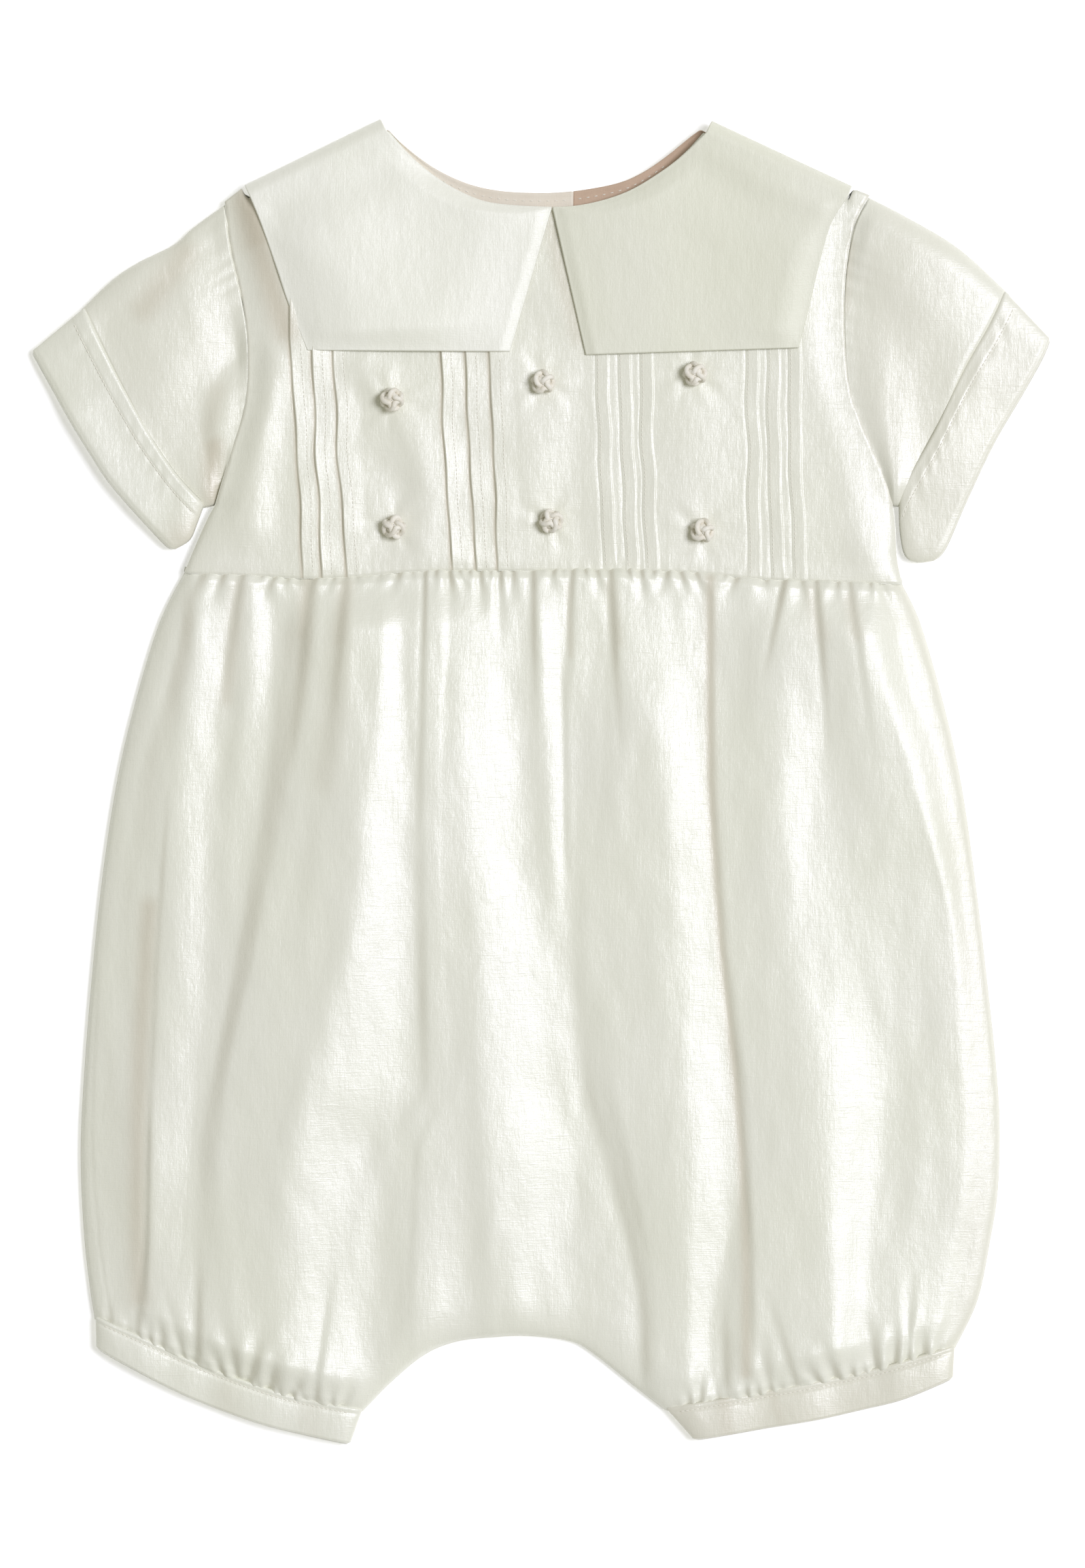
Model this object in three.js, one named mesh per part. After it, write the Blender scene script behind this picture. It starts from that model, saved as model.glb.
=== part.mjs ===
// A baby romper laid flat, front up: short sleeves with turned-up cuffs, a pin-tucked front bodice with six
// knotted buttons, a wide collar in two halves, and a gathered bubble body that ends in two leg bands.
// Millimetres. +X is to the viewer's right, +Y runs from the legs to the neck, and +Z is up from the surface
// that the romper lies on. The origin is on that surface, under the middle of the romper.
// Every piece of cloth is a wall: a panel has a top and an under face, and a sleeve, a cuff or a leg band is
// a flattened tube, open at both ends. The back lies on the surface, and the front lies on the back.
import * as THREE from "three";

// Cloth and gaps
const CLOTH = 1.2; // silk with its lining
const BAND_CLOTH = 1.7; // the doubled cloth of cuffs and leg bands
const COLLAR_CLOTH = 1.3;
const FACING_CLOTH = 1.0;
const SEAM_GAP = 0.3;
const CURVED_GAP = 0.5; // along curved seams, whose two sides have different facets

// Levels
const COLLAR_TURN = 4.5; // outer radius of the collar's turn over the shoulder
const BACK_LIFT = COLLAR_CLOTH + SEAM_GAP; // the back bodice lies on the back of the collar
const FACING_FLOOR = BACK_LIFT + CLOTH + SEAM_GAP;
const FRONT_FLOOR = BACK_LIFT + CLOTH + SEAM_GAP;
const BODY_FLOOR = CLOTH + SEAM_GAP; // the front of the body, where it lies on its back
const BODICE_TOP = 5.7; // the front bodice between its tucks
const WAIST_TOP = 5.2; // both sides of the waist seam
const BAND_TOP = 4.8;
const SLEEVE_TOP = { armhole: 4.6, middle: 6.6, cuff: 5.4 };
const CUFF_TOP = 6.4;
const COLLAR_TOP = { shoulder: 2 * COLLAR_TURN, hem: 8.6, neck: 7.5 };

// Runs over which a panel curves down to an edge
const BODY_ROUND = 12;
const BODICE_ROUND = 8;
const TUBE_ROUND = 8;

// What gathers and tucks do to the front
const GATHERS = 42; // small waves along the waist seam, and again along the two leg bands
const BAND_SHARE = 0.36; // share of the front's gathers that ends on each leg band
const BACK_PEEK = 0.8; // the back shows past the front by this much at the sides
const TUCK = { depth: 4.6, rise: 1.1, drop: 0.35, fadeAtNeck: 0.14 }; // drop: run of the fall past the edge

const FACING = { width: 13, left: -43.5, right: 48.5, endWidth: 2.5, taper: 24 }; // it narrows to its ends
const BACK_OPENING = 10.2; // x of the closed opening down the back bodice
const KNOT = { radius: 4.3, height: 6.4, relief: 0.07 };

const IVORY = 0xf3efe2;
const FACING_COLOUR = 0xdcc3ae;
const KNOT_COLOUR = 0xe8e0cf;

// Outlines as [x, y], each a smooth curve through its points
const BODY = {
  left: [[-113.2, 66.2], [-121.2, 50], [-128.8, 25], [-134.6, 0], [-139.2, -30], [-142.4, -60], [-145, -92],
    [-146.2, -118], [-145.2, -143], [-143.4, -160], [-141.7, -171]],
  right: [[114.5, 62.7], [120.4, 50], [127.6, 25], [133.2, 0], [137.6, -30], [141.2, -60], [144.4, -90],
    [145.6, -110], [145, -130], [142.6, -146], [138.6, -165], [131.5, -180.2]],
  waist: [[-113.2, 66.2], [-94, 65.6], [-75, 64.6], [-57, 65.2], [-35, 66.9], [25, 66.9], [48, 66.4],
    [72, 64.2], [114.5, 62.7]],
  crotch: [[-56.8, -200.3], [-47.5, -190.8], [-37, -182.2], [-26.8, -178], [-15, -176.6], [-4, -176.2],
    [9, -177.8], [16.4, -181.6], [30.7, -193], [39.7, -199.9]],
};
const LEG_BANDS = {
  left: {
    seam: [[-141.7, -171], [-125, -178.2], [-109, -185.6], [-84, -194.6], [-68, -198.4], [-56.8, -200.3]],
    hem: [[-141.5, -179.6], [-130, -186], [-114.7, -194], [-99, -200.4], [-83.6, -205.2], [-60.5, -210.2]],
  },
  right: {
    seam: [[39.7, -199.9], [56, -197.3], [80, -193], [106, -187.6], [120, -183.6], [131.5, -180.2]],
    hem: [[48.2, -209], [71, -205.2], [89, -202.2], [102, -199.2], [115, -195.8], [131, -189.2]],
  },
};
const BODICE = {
  left: {
    armhole: [[-100.4, 184], [-98.6, 169.5], [-94.9, 153], [-93.1, 138.5], [-93.8, 121], [-98.7, 103.4],
      [-103.4, 87.8]],
    side: [[-103.4, 87.8], [-106, 83], [-110.2, 73.6], [-113.2, 66.2]],
    shoulder: [[-100.4, 184], [-95, 188], [-93.4, 184.6], [-48, 206.7]], // steps inside the collar's turn
  },
  right: {
    armhole: [[104.1, 186], [99.5, 177], [96.8, 163], [96.1, 147.6], [97.4, 128], [101.7, 113.7],
      [108.9, 97.3], [111.6, 87.2]],
    side: [[111.6, 87.2], [112.4, 80], [112.8, 71], [114.5, 62.7]],
    shoulder: [[104.1, 186], [99.2, 187.8], [97.6, 184.1], [51, 206.2]],
  },
};
const NECK = {
  front: [[-51.2, 210.2], [-42.3, 199.8], [-33.9, 192.3], [-24.8, 186.7], [-15, 183.4], [3.4, 182.2],
    [15, 183.2], [27.2, 187], [38, 193.6], [46.2, 200.5], [54.4, 209.6]],
  back: [[-51.2, 210.2], [-44.7, 203], [-34.8, 195.3], [-24, 190], [-13.4, 187.5], [-1.7, 186.8],
    [9.7, 187.3], [23.1, 189.6], [31.3, 192.8], [39.5, 198.2], [48, 205.1], [54.4, 209.6]],
};
const COLLARS = {
  left: { neck: [-51.2, 210.2], shoulder: [-94.1, 189.3], innerHem: [-10, 136.4],
    outerEdge: [[-74.2, 136.8], [-80, 151.5], [-83.8, 163.1], [-88.4, 176.4], [-91.8, 184.9]] },
  right: { neck: [54.4, 209.6], shoulder: [98.6, 189], innerHem: [14.3, 135.4],
    outerEdge: [[81.6, 137.6], [85.2, 152], [88.1, 164.4], [91.6, 176.3], [96.7, 184.6]] },
};
const COLLAR_PARTING = { front: 3.5, back: BACK_OPENING }; // x where the two halves meet at the neck
const SLEEVES = {
  left: {
    fold: [[-100.8, 184], [-111, 176.4], [-117, 171], [-128, 165.4], [-136, 159.8], [-145.6, 150.2]],
    cuffLine: [[-145.6, 150.2], [-140, 138.6], [-133.3, 125.4], [-124.6, 109.8], [-115.8, 96.7],
      [-107.2, 87.4]],
    hem: [[-161.5, 137], [-155.2, 125.3], [-149.8, 115.4], [-143.1, 104.3], [-135.6, 93.3], [-120, 76.3],
      [-116.2, 73.6]],
    underCuff: [[-107.2, 87.4], [-109.2, 82], [-111.6, 76.6], [-116.2, 73.6]],
  },
  right: {
    fold: [[104.4, 186], [116, 180], [132.4, 170], [147.7, 155.6]],
    cuffLine: [[147.7, 155.6], [142.3, 144.4], [134.1, 130], [124.8, 110.5], [116.2, 95.4], [113.6, 88]],
    hem: [[161.5, 141], [158.8, 134.4], [152.3, 122.5], [143.4, 107], [134.6, 88.5], [128.2, 74.2],
      [124.8, 69.9]],
    underCuff: [[113.6, 88], [114, 79], [115.6, 71.6], [119.4, 69.4], [124.8, 69.9]],
  },
};

// Folds of the front as sections: each row is a line down the front, a crest, a trough or the foot or top
// of a steep side, with its x and height at each of FOLD_STATIONS. A section runs smoothly through its lines.
const FOLD_STATIONS = [54, 0, -54, -95, -119, -175]; // y, from below the waist seam to the top of the crotch
const FOLD_LINES = [
  { line: "left rim", x: [-115, -129, -136, -140, -141, -137], z: [5.2, 5.4, 5.3, 5.2, 5.1, 4.8] },
  { line: "crest", x: [-109, -115, -115, -118.5, -120.5, -121], z: [6.8, 7.7, 8.2, 8.4, 8.5, 7.3] },
  { line: "trough", x: [-99, -102, -105.5, -109.3, -111.5, -115.5], z: [5.3, 6.4, 7.8, 8.0, 8.2, 7.8] },
  { line: "crest", x: [-91.5, -96, -101.5, -107, -110, -113.5], z: [6.2, 6.9, 8.0, 8.1, 8.3, 7.9] },
  { line: "foot", x: [-85, -89, -97.5, -105, -109, -111.5], z: [5.2, 7.1, 8.3, 8.3, 8.4, 8.0] },
  { line: "top", x: [-70.5, -79.5, -90, -99, -100.5, -101.5], z: [8.8, 9.9, 10.9, 10.4, 10.6, 9.5] },
  { line: "foot", x: [-68, -72, -79, -88, -91.5, -96.5], z: [9.1, 10.9, 12.0, 11.8, 11.5, 10.1] },
  { line: "top", x: [-59.5, -63, -71.5, -80.5, -85.5, -91.5], z: [11.3, 12.8, 12.8, 12.5, 12.0, 10.2] },
  { line: "crest", x: [-50.5, -55.5, -62, -73, -79, -84.5], z: [11.2, 13.4, 13.7, 13.4, 12.6, 10.3] },
  { line: "trough", x: [-44, -40.5, -40, -39, -53, -64.5], z: [9.9, 10.8, 9.6, 8.4, 8.5, 7.9] },
  { line: "crest", x: [-34, -36.5, -35.5, -35, -46, -52.5], z: [9.6, 11.1, 10.6, 9.0, 8.4, 6.7] },
  { line: "trough", x: [-31, -33.5, -32.5, -31.5, -41, -43], z: [9.4, 11.1, 10.7, 9.1, 8.5, 7.6] },
  { line: "crest", x: [-29, -31, -30, -28, -38, -39.5], z: [9.0, 11.0, 10.6, 9.1, 8.9, 8.0] },
  { line: "trough", x: [-26, -29, -28, -24.5, -24, -23], z: [9.0, 11.0, 10.6, 9.2, 8.7, 6.1] },
  { line: "crest", x: [-23, -27, -21.5, -19.5, -18, -14], z: [8.9, 11.0, 10.6, 9.6, 9.2, 6.8] },
  { line: "trough", x: [-5.5, -4, 2, 3, 9, 8], z: [6.9, 7.5, 6.8, 5.9, 4.9, 4.5] },
  { line: "crest", x: [-1, 1.5, 5, 7.5, 12, 12], z: [7.4, 7.8, 6.4, 5.4, 4.5, 4.4] },
  { line: "trough", x: [8, 8.5, 9.5, 13, 19, 31], z: [6.0, 6.7, 6.1, 4.8, 4.2, 4.4] },
  { line: "foot", x: [20.5, 18, 14.5, 17, 24, 35], z: [6.1, 7.4, 6.7, 5.6, 5.4, 5.7] },
  { line: "top", x: [25, 23.5, 23.5, 24.5, 29, 38], z: [6.9, 8.3, 7.3, 7.1, 6.9, 6.3] },
  { line: "crest", x: [29, 38, 41.5, 45, 46.5, 46], z: [7.2, 9.3, 8.3, 8.2, 8.2, 6.8] },
  { line: "trough", x: [53.5, 54, 57.5, 62, 63.5, 54.5], z: [5.6, 7.1, 6.2, 5.9, 6.0, 5.4] },
  { line: "top", x: [57.5, 57.5, 61, 65.5, 67.5, 68], z: [5.8, 7.4, 6.7, 6.7, 6.8, 7.6] },
  { line: "crest", x: [78.5, 74.5, 79, 88.5, 90, 91.5], z: [8.6, 9.0, 8.4, 8.8, 9.1, 10.0] },
  { line: "trough", x: [87.5, 90.5, 100, 112, 109.5, 103.5], z: [9.0, 7.6, 6.9, 5.5, 5.8, 7.1] },
  { line: "top", x: [100.5, 108, 114.5, 117.5, 117, 112], z: [10.9, 9.2, 6.6, 5.6, 5.8, 6.8] },
  { line: "crest", x: [104, 117, 131, 132.5, 133, 126], z: [10.6, 9.3, 6.6, 6.0, 6.0, 6.0] },
  { line: "right rim", x: [114.5, 128.5, 137, 140.5, 141.5, 131.5], z: [7.0, 6.0, 5.4, 5.1, 5.0, 4.8] },
];

// Soft folds of the sleeves: where each starts and ends across the sleeve (0 at the upper fold, 1 at the
// underarm) on its way from the armhole to the cuff, with its rise and its half width in the same share
const SLEEVE_FOLDS = {
  left: [
    { armhole: 0.2, cuff: 0.3, rise: 1.5, width: 0.14 },
    { armhole: 0.62, cuff: 0.5, rise: -1.1, width: 0.12 },
    { armhole: 0.82, cuff: 0.74, rise: 1.6, width: 0.13 },
  ],
  right: [
    { armhole: 0.22, cuff: 0.16, rise: 1.3, width: 0.13 },
    { armhole: 0.45, cuff: 0.36, rise: -1.0, width: 0.1 },
    { armhole: 0.72, cuff: 0.62, rise: 1.6, width: 0.15 },
  ],
};

// Pin tucks: x of the folded edge under the collar, half-way and at the waist seam, and the way it is pressed
const TUCKS = [
  { collar: -79.9, middle: -77.3, waist: -75.6, pressed: -1 },
  { collar: -73.0, middle: -71.4, waist: -69.6, pressed: -1 },
  { collar: -66.4, middle: -64.6, waist: -61.6, pressed: -1 },
  { collar: -32.0, middle: -30.7, waist: -28.1, pressed: -1 },
  { collar: -24.2, middle: -22.7, waist: -20.5, pressed: -1 },
  { collar: -16.6, middle: -14.9, waist: -13.8, pressed: -1 },
  { collar: 21.2, middle: 22.2, waist: 24.0, pressed: 1 },
  { collar: 28.3, middle: 29.4, waist: 31.1, pressed: 1 },
  { collar: 35.4, middle: 35.6, waist: 37.4, pressed: 1 },
  { collar: 68.8, middle: 69.4, waist: 69.8, pressed: 1 },
  { collar: 75.6, middle: 75.8, waist: 77.3, pressed: 1 },
  { collar: 82.4, middle: 82.6, waist: 84.4, pressed: 1 },
];
const TUCK_GROUP = 3;

const BUTTONS = [
  { name: "button_upper_left", x: -47.3, y: 120.9, turn: 20 },
  { name: "button_upper_middle", x: 0.6, y: 126.5, turn: -15 },
  { name: "button_upper_right", x: 48.8, y: 129.1, turn: 0 },
  { name: "button_lower_left", x: -46.7, y: 80.5, turn: 10 },
  { name: "button_lower_middle", x: 3.2, y: 82.4, turn: -40 },
  { name: "button_lower_right", x: 51.2, y: 79.4, turn: -30 },
];

// ---- numbers and curves ----

const lerp = (a, b, t) => a + (b - a) * t;
const clamp = (x, low, high) => Math.min(high, Math.max(low, x));
const steps = (n) => Array.from({ length: n + 1 }, (_, i) => i / n);
const vector = ([x, y]) => new THREE.Vector2(x, y);

function ease(t) {
  const s = clamp(t, 0, 1);
  return s * s * (3 - 2 * s);
}

// A fixed number between 0 and 1 for each k, to make neighbours uneven
function uneven(k) {
  const s = Math.sin(k * 127.1 + 11.7) * 43758.5453;
  return s - Math.floor(s);
}

// Quarter-round: 0 at an edge, 1 from `run` inwards
const roundOff = (distance, run) => Math.sqrt(1 - (1 - clamp(distance / run, 0, 1)) ** 2);

// The t in 0..1 at which a rising function reaches a value
function solve(rising, value) {
  let [low, high] = [0, 1];
  for (let i = 0; i < 30; i++) {
    const mid = (low + high) / 2;
    if (rising(mid) < value) low = mid;
    else high = mid;
  }
  return low;
}

// The value at x of a curve through rising knots that never overshoots them, flat beyond its ends
function throughPoints(knots, values, x) {
  const last = knots.length - 1;
  if (x <= knots[0]) return values[0];
  if (x >= knots[last]) return values[last];
  const slope = (k) => (values[k + 1] - values[k]) / (knots[k + 1] - knots[k]);
  const tangent = (k) => {
    if (k === 0 || k === last) return 0;
    const [before, after] = [slope(k - 1), slope(k)];
    return before * after > 0 ? (2 * before * after) / (before + after) : 0;
  };
  const k = knots.findLastIndex((knot) => knot <= x);
  const span = knots[k + 1] - knots[k];
  const t = (x - knots[k]) / span;
  const rise = values[k + 1] - values[k];
  const [m0, m1] = [tangent(k) * span, tangent(k + 1) * span];
  return values[k] + t * m0 + t * t * (3 * rise - 2 * m0 - m1) + t * t * t * (m0 + m1 - 2 * rise);
}

// A smooth curve through [x, y] points, by the share of its length
function smooth(points) {
  const curve = new THREE.SplineCurve(points.map(vector));
  curve.arcLengthDivisions = 400;
  return (t) => curve.getPointAt(clamp(t, 0, 1));
}

const straight = (a, b) => (t) => a.clone().lerp(b, t);
const shifted = (curve, dx, dy) => (t) => curve(t).add(new THREE.Vector2(dx, dy));
const shareAtX = (curve, x) => solve((t) => curve(t).x, x);
const yAtX = (curve, x) => curve(shareAtX(curve, x)).y;

// A curve with its ends moved to start and end
function fitted(curve, start, end) {
  const [atStart, atEnd] = [start.clone().sub(curve(0)), end.clone().sub(curve(1))];
  return (t) => curve(t).addScaledVector(atStart, 1 - t).addScaledVector(atEnd, t);
}

// Curves end to end, each over its own share of t
function chain(...links) {
  return (t) => {
    let start = 0;
    for (const [curve, share] of links) {
      if (t <= start + share || curve === links.at(-1)[0]) return curve((t - start) / share);
      start += share;
    }
  };
}

// y over x along straight lines between [x, y] points given in either order
function lineY(points, x) {
  const sorted = [...points].sort((a, b) => a[0] - b[0]);
  const k = clamp(sorted.findIndex(([px]) => px >= x), 1, sorted.length - 1);
  const [[x0, y0], [x1, y1]] = [sorted[k - 1], sorted[k]];
  return lerp(y0, y1, (x - x0) / (x1 - x0));
}

// Distance from a plan point to a curve
function distanceTo(curve) {
  const points = steps(80).map(curve);
  const foot = new THREE.Vector3();
  const lines = points.slice(1).map((q, i) => new THREE.Line3(
    new THREE.Vector3(points[i].x, points[i].y, 0), new THREE.Vector3(q.x, q.y, 0)));
  return (p) => {
    const at = new THREE.Vector3(p.x, p.y, 0);
    return Math.min(...lines.map((line) => line.closestPointToPoint(at, true, foot).distanceTo(at)));
  };
}

// A four-sided patch of the plan: u runs along top and bottom, and v from top to bottom
function patch(top, bottom, left, right) {
  const corners = [top(0), top(1), bottom(0), bottom(1)];
  return (u, v) => {
    const [t, b, l, r] = [top(u), bottom(u), left(v), right(v)];
    const mix = (key) => {
      const corner = corners.map((c) => c[key]);
      return lerp(t[key], b[key], v) + lerp(l[key], r[key], u)
        - lerp(lerp(corner[0], corner[1], u), lerp(corner[2], corner[3], u), v);
    };
    return new THREE.Vector2(mix("x"), mix("y"));
  };
}

// ---- walls ----

// A closed body from points and triangles, with its faces turned out
function solid(points, faces) {
  const [a, b, c] = [new THREE.Vector3(), new THREE.Vector3(), new THREE.Vector3()];
  let volume = 0;
  for (let i = 0; i < faces.length; i += 3) {
    a.copy(points[faces[i]]);
    b.copy(points[faces[i + 1]]);
    c.copy(points[faces[i + 2]]);
    volume += a.dot(b.cross(c));
  }
  const geometry = new THREE.BufferGeometry();
  geometry.setAttribute("position", new THREE.Float32BufferAttribute(points.flatMap((p) => p.toArray()), 3));
  geometry.setIndex(volume < 0 ? faces.reverse() : faces);
  geometry.computeVertexNormals();
  return geometry;
}

// A wall between two grids of points, [row][column]. With `ring`, each row closes on itself.
function wall(outer, inner, ring = false) {
  const rows = outer.length;
  const columns = outer[0].length;
  const spans = ring ? columns : columns - 1;
  const faces = [];
  const at = (layer, i, j) => (layer * rows + i) * columns + (j % columns);
  const quad = (a, b, c, d) => faces.push(a, b, c, a, c, d);
  for (let j = 0; j < spans; j++) {
    for (let i = 0; i < rows - 1; i++) {
      quad(at(0, i, j), at(0, i + 1, j), at(0, i + 1, j + 1), at(0, i, j + 1));
      quad(at(1, i, j), at(1, i, j + 1), at(1, i + 1, j + 1), at(1, i + 1, j));
    }
    quad(at(0, 0, j), at(0, 0, j + 1), at(1, 0, j + 1), at(1, 0, j));
    quad(at(0, rows - 1, j + 1), at(0, rows - 1, j), at(1, rows - 1, j), at(1, rows - 1, j + 1));
  }
  for (let i = 0; !ring && i < rows - 1; i++) {
    quad(at(0, i + 1, 0), at(0, i, 0), at(1, i, 0), at(1, i + 1, 0));
    quad(at(0, i, columns - 1), at(0, i + 1, columns - 1), at(1, i + 1, columns - 1), at(1, i, columns - 1));
  }
  return solid([...outer.flat(), ...inner.flat()], faces);
}

// A panel over a grid of plan points. height(p, i, j) is its top face, the wall keeps its thickness on a
// slope, and the under face stays over floor. relief(i, j) is added to the top face alone.
function panel(plan, height, { cloth = CLOTH, floor = () => 0, relief = () => 0 } = {}) {
  const tops = plan.map((row, i) => row.map((p, j) => new THREE.Vector3(p.x, p.y, height(p, i, j))));
  const near = (list, k) => list[clamp(k, 0, list.length - 1)];
  const steepest = 1.8;
  const outer = [];
  const inner = [];
  tops.forEach((row, i) => {
    outer.push([]);
    inner.push([]);
    row.forEach((top, j) => {
      const across = near(row, j + 1).clone().sub(near(row, j - 1));
      const down = near(tops, i + 1)[j].clone().sub(near(tops, i - 1)[j]);
      const normal = across.cross(down).normalize();
      const depth = cloth * Math.min(1 / Math.abs(normal.z), steepest);
      const under = Math.max(floor(top), top.z - depth);
      const raised = Math.max(top.z, under + cloth) + relief(i, j);
      outer[i].push(new THREE.Vector3(top.x, top.y, raised));
      inner[i].push(new THREE.Vector3(top.x, top.y, under));
    });
  });
  return wall(outer, inner);
}

// A flattened tube over a patch of the plan, w from one folded edge to the other and s along the tube. Its
// lower layer lies on the surface, and its upper layer stands at level(w, s), rounded down to both folds.
function flatTube(plan, ws, ss, level, cloth) {
  const lowest = 2 * cloth + SEAM_GAP;
  const foldHeight = lowest / 2;
  const outer = [];
  const inner = [];
  for (const s of ss) {
    const width = plan(0, s).distanceTo(plan(1, s));
    const inset = (1.3 * cloth) / width;
    const topAt = (w) => {
      const round = roundOff(Math.min(w, 1 - w) * width, TUBE_ROUND);
      return Math.max(lowest, lerp(lowest, level(w, s), round));
    };
    const point = (w, z) => new THREE.Vector3(...plan(w, s).toArray(), z);
    const ring = (shift, upper, lower) => {
      const at = (w) => lerp(shift, 1 - shift, w);
      const between = ws.slice(1, -1);
      return [
        point(at(0), foldHeight), ...between.map((w) => point(at(w), upper(w))),
        point(at(1), foldHeight), ...between.map((w) => point(at(w), lower)).reverse(),
      ];
    };
    outer.push(ring(0, topAt, 0));
    inner.push(ring(inset, (w) => topAt(w) - cloth, cloth));
  }
  return wall(outer, inner, true);
}

// Shares across a flattened tube, closer together at its two folds
function tubeShares(n) {
  return [0, 0.02, ...steps(n).slice(1, -1), 0.98, 1];
}

// ---- body ----

const bodySides = { left: smooth(BODY.left), right: smooth(BODY.right) };
const waistLine = smooth(BODY.waist);
const crotchLine = smooth(BODY.crotch);
const legSeams = { left: smooth(LEG_BANDS.left.seam), right: smooth(LEG_BANDS.right.seam) };
const bodyHem = chain(
  [legSeams.left, BAND_SHARE], [crotchLine, 1 - 2 * BAND_SHARE], [legSeams.right, BAND_SHARE]);
const bodyTop = shifted(waistLine, 0, -CURVED_GAP / 2);
const bodyPlan = patch(bodyTop, shifted(bodyHem, 0, CURVED_GAP / 2), bodySides.left, bodySides.right);
const bodyEdges = [bodySides.left, bodySides.right, crotchLine].map(distanceTo);

// Top of the front at a plan point, from the section through the fold lines at its y
function sectionTop(p) {
  const at = (values) => throughPoints(FOLD_STATIONS.map((y) => -y), values, -p.y);
  return throughPoints(FOLD_LINES.map(({ x }) => at(x)), FOLD_LINES.map(({ z }) => at(z)), p.x);
}

// Small gathers, crests on the odd columns. They die away from the two seams that draw them up.
function gatherRise(j, u, v) {
  const size = (j % 2 ? 1 : -0.7) * (0.7 + 0.8 * uneven(j));
  const onBand = Math.abs(u - 0.5) > 0.5 - BAND_SHARE ? 0.9 : 0.2;
  const atWaist = Math.exp(-v / (0.035 + 0.05 * uneven(j + 50)));
  const atBand = onBand * Math.exp(-(1 - v) / (0.03 + 0.06 * uneven(j + 90)));
  return size * (atWaist + atBand);
}

function frontBody() {
  const us = steps(2 * GATHERS);
  const vs = [0, 0.02, 0.05, 0.09, 0.15, 0.23, 0.33, 0.44, 0.55, 0.66, 0.76, 0.84, 0.9, 0.94, 0.975, 1];
  const plan = vs.map((v) => us.map((u) => {
    const p = bodyPlan(u, v);
    const inward = bodyPlan(0.5, v).sub(p).setLength(BACK_PEEK * ease((Math.abs(u - 0.5) - 0.4) / 0.1));
    return p.add(inward);
  }));
  const low = BODY_FLOOR + CLOTH;
  const height = (p, i, j) => {
    const [u, v] = [us[j], vs[i]];
    const edge = roundOff(Math.min(...bodyEdges.map((distance) => distance(p))) - BACK_PEEK, BODY_ROUND);
    const fromWaist = lerp(WAIST_TOP, sectionTop(p), ease(v / 0.12));
    const top = lerp(BAND_TOP - 0.4, fromWaist, ease((1 - v) / 0.1));
    return Math.max(low, lerp(low, top, edge) + edge * gatherRise(j, u, v));
  };
  return panel(plan, height, { floor: () => BODY_FLOOR });
}

function backBody() {
  const vs = [0, 0.15, 0.36, 0.6, 0.82, 1];
  const us = steps(24);
  return panel(vs.map((v) => us.map((u) => bodyPlan(u, v))), () => CLOTH);
}

function legBand(side) {
  const seam = shifted(legSeams[side], 0, -CURVED_GAP / 2);
  const hem = smooth(LEG_BANDS[side].hem);
  const plan = patch(seam, hem, straight(seam(0), hem(0)), straight(seam(1), hem(1)));
  return flatTube(plan, tubeShares(12), [0, 0.2, 0.8, 1], () => BAND_TOP, BAND_CLOTH);
}

// ---- bodice ----

const neckLines = { front: smooth(NECK.front), back: smooth(NECK.back) };
const armholes = { left: smooth(BODICE.left.armhole), right: smooth(BODICE.right.armhole) };
const bodiceSides = {};
const shoulderLines = {};
for (const side of ["left", "right"]) {
  bodiceSides[side] = chain([armholes[side], 0.8], [smooth(BODICE[side].side), 0.2]);
  const [arm, , turn, neck] = BODICE[side].shoulder.map(vector);
  shoulderLines[side] = chain([straight(arm, turn), 0.1], [straight(turn, neck), 0.9]);
}

// y of the bodice's upper edge at x: a shoulder, the neck, or the other shoulder
function upperEdge(face, x) {
  const insideCollar = 0.6;
  const shoulder = lineY(BODICE[x < 0 ? "left" : "right"].shoulder, x);
  if (x < NECK[face][0][0] || x > NECK[face].at(-1)[0]) return shoulder;
  return Math.min(shoulder, yAtX(neckLines[face], x) - insideCollar);
}

function bodicePoint(face, x, v) {
  const clear = face === "back" ? CURVED_GAP : CURVED_GAP / 2; // the back's columns are further apart
  return new THREE.Vector2(x, lerp(upperEdge(face, x), yAtX(waistLine, x) + clear, v));
}

// The point of the side edge, armhole and side seam, on the row v
function bodiceSide(face, side, v) {
  const edge = bodiceSides[side];
  const rowAt = (t) => {
    const p = edge(t);
    return (upperEdge(face, p.x) - p.y) / (upperEdge(face, p.x) - yAtX(waistLine, p.x));
  };
  return bodicePoint(face, edge(solve(rowAt, v)).x, v);
}

const bodiceEdges = [...Object.values(bodiceSides), ...Object.values(shoulderLines)].map(distanceTo);

// Top face of the front bodice without its tucks
function bodiceTop(p) {
  const edge = roundOff(Math.min(...bodiceEdges.map((distance) => distance(p))), BODICE_ROUND);
  const toWaist = p.y - yAtX(waistLine, p.x);
  const level = lerp(WAIST_TOP, BODICE_TOP, ease(toWaist / 30));
  const soft = 0.3 * Math.sin(p.x / 14) * Math.sin(p.y / 17);
  return lerp(FRONT_FLOOR + CLOTH, level + soft, edge);
}

// x of a tuck's folded edge on row v, from the collar's hem at 0.4 to the waist
function tuckX(tuck, v) {
  const down = clamp((v - 0.4) / 0.6, 0, 1) * 2;
  return down < 1 ? lerp(tuck.collar, tuck.middle, down) : lerp(tuck.middle, tuck.waist, down - 1);
}

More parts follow.
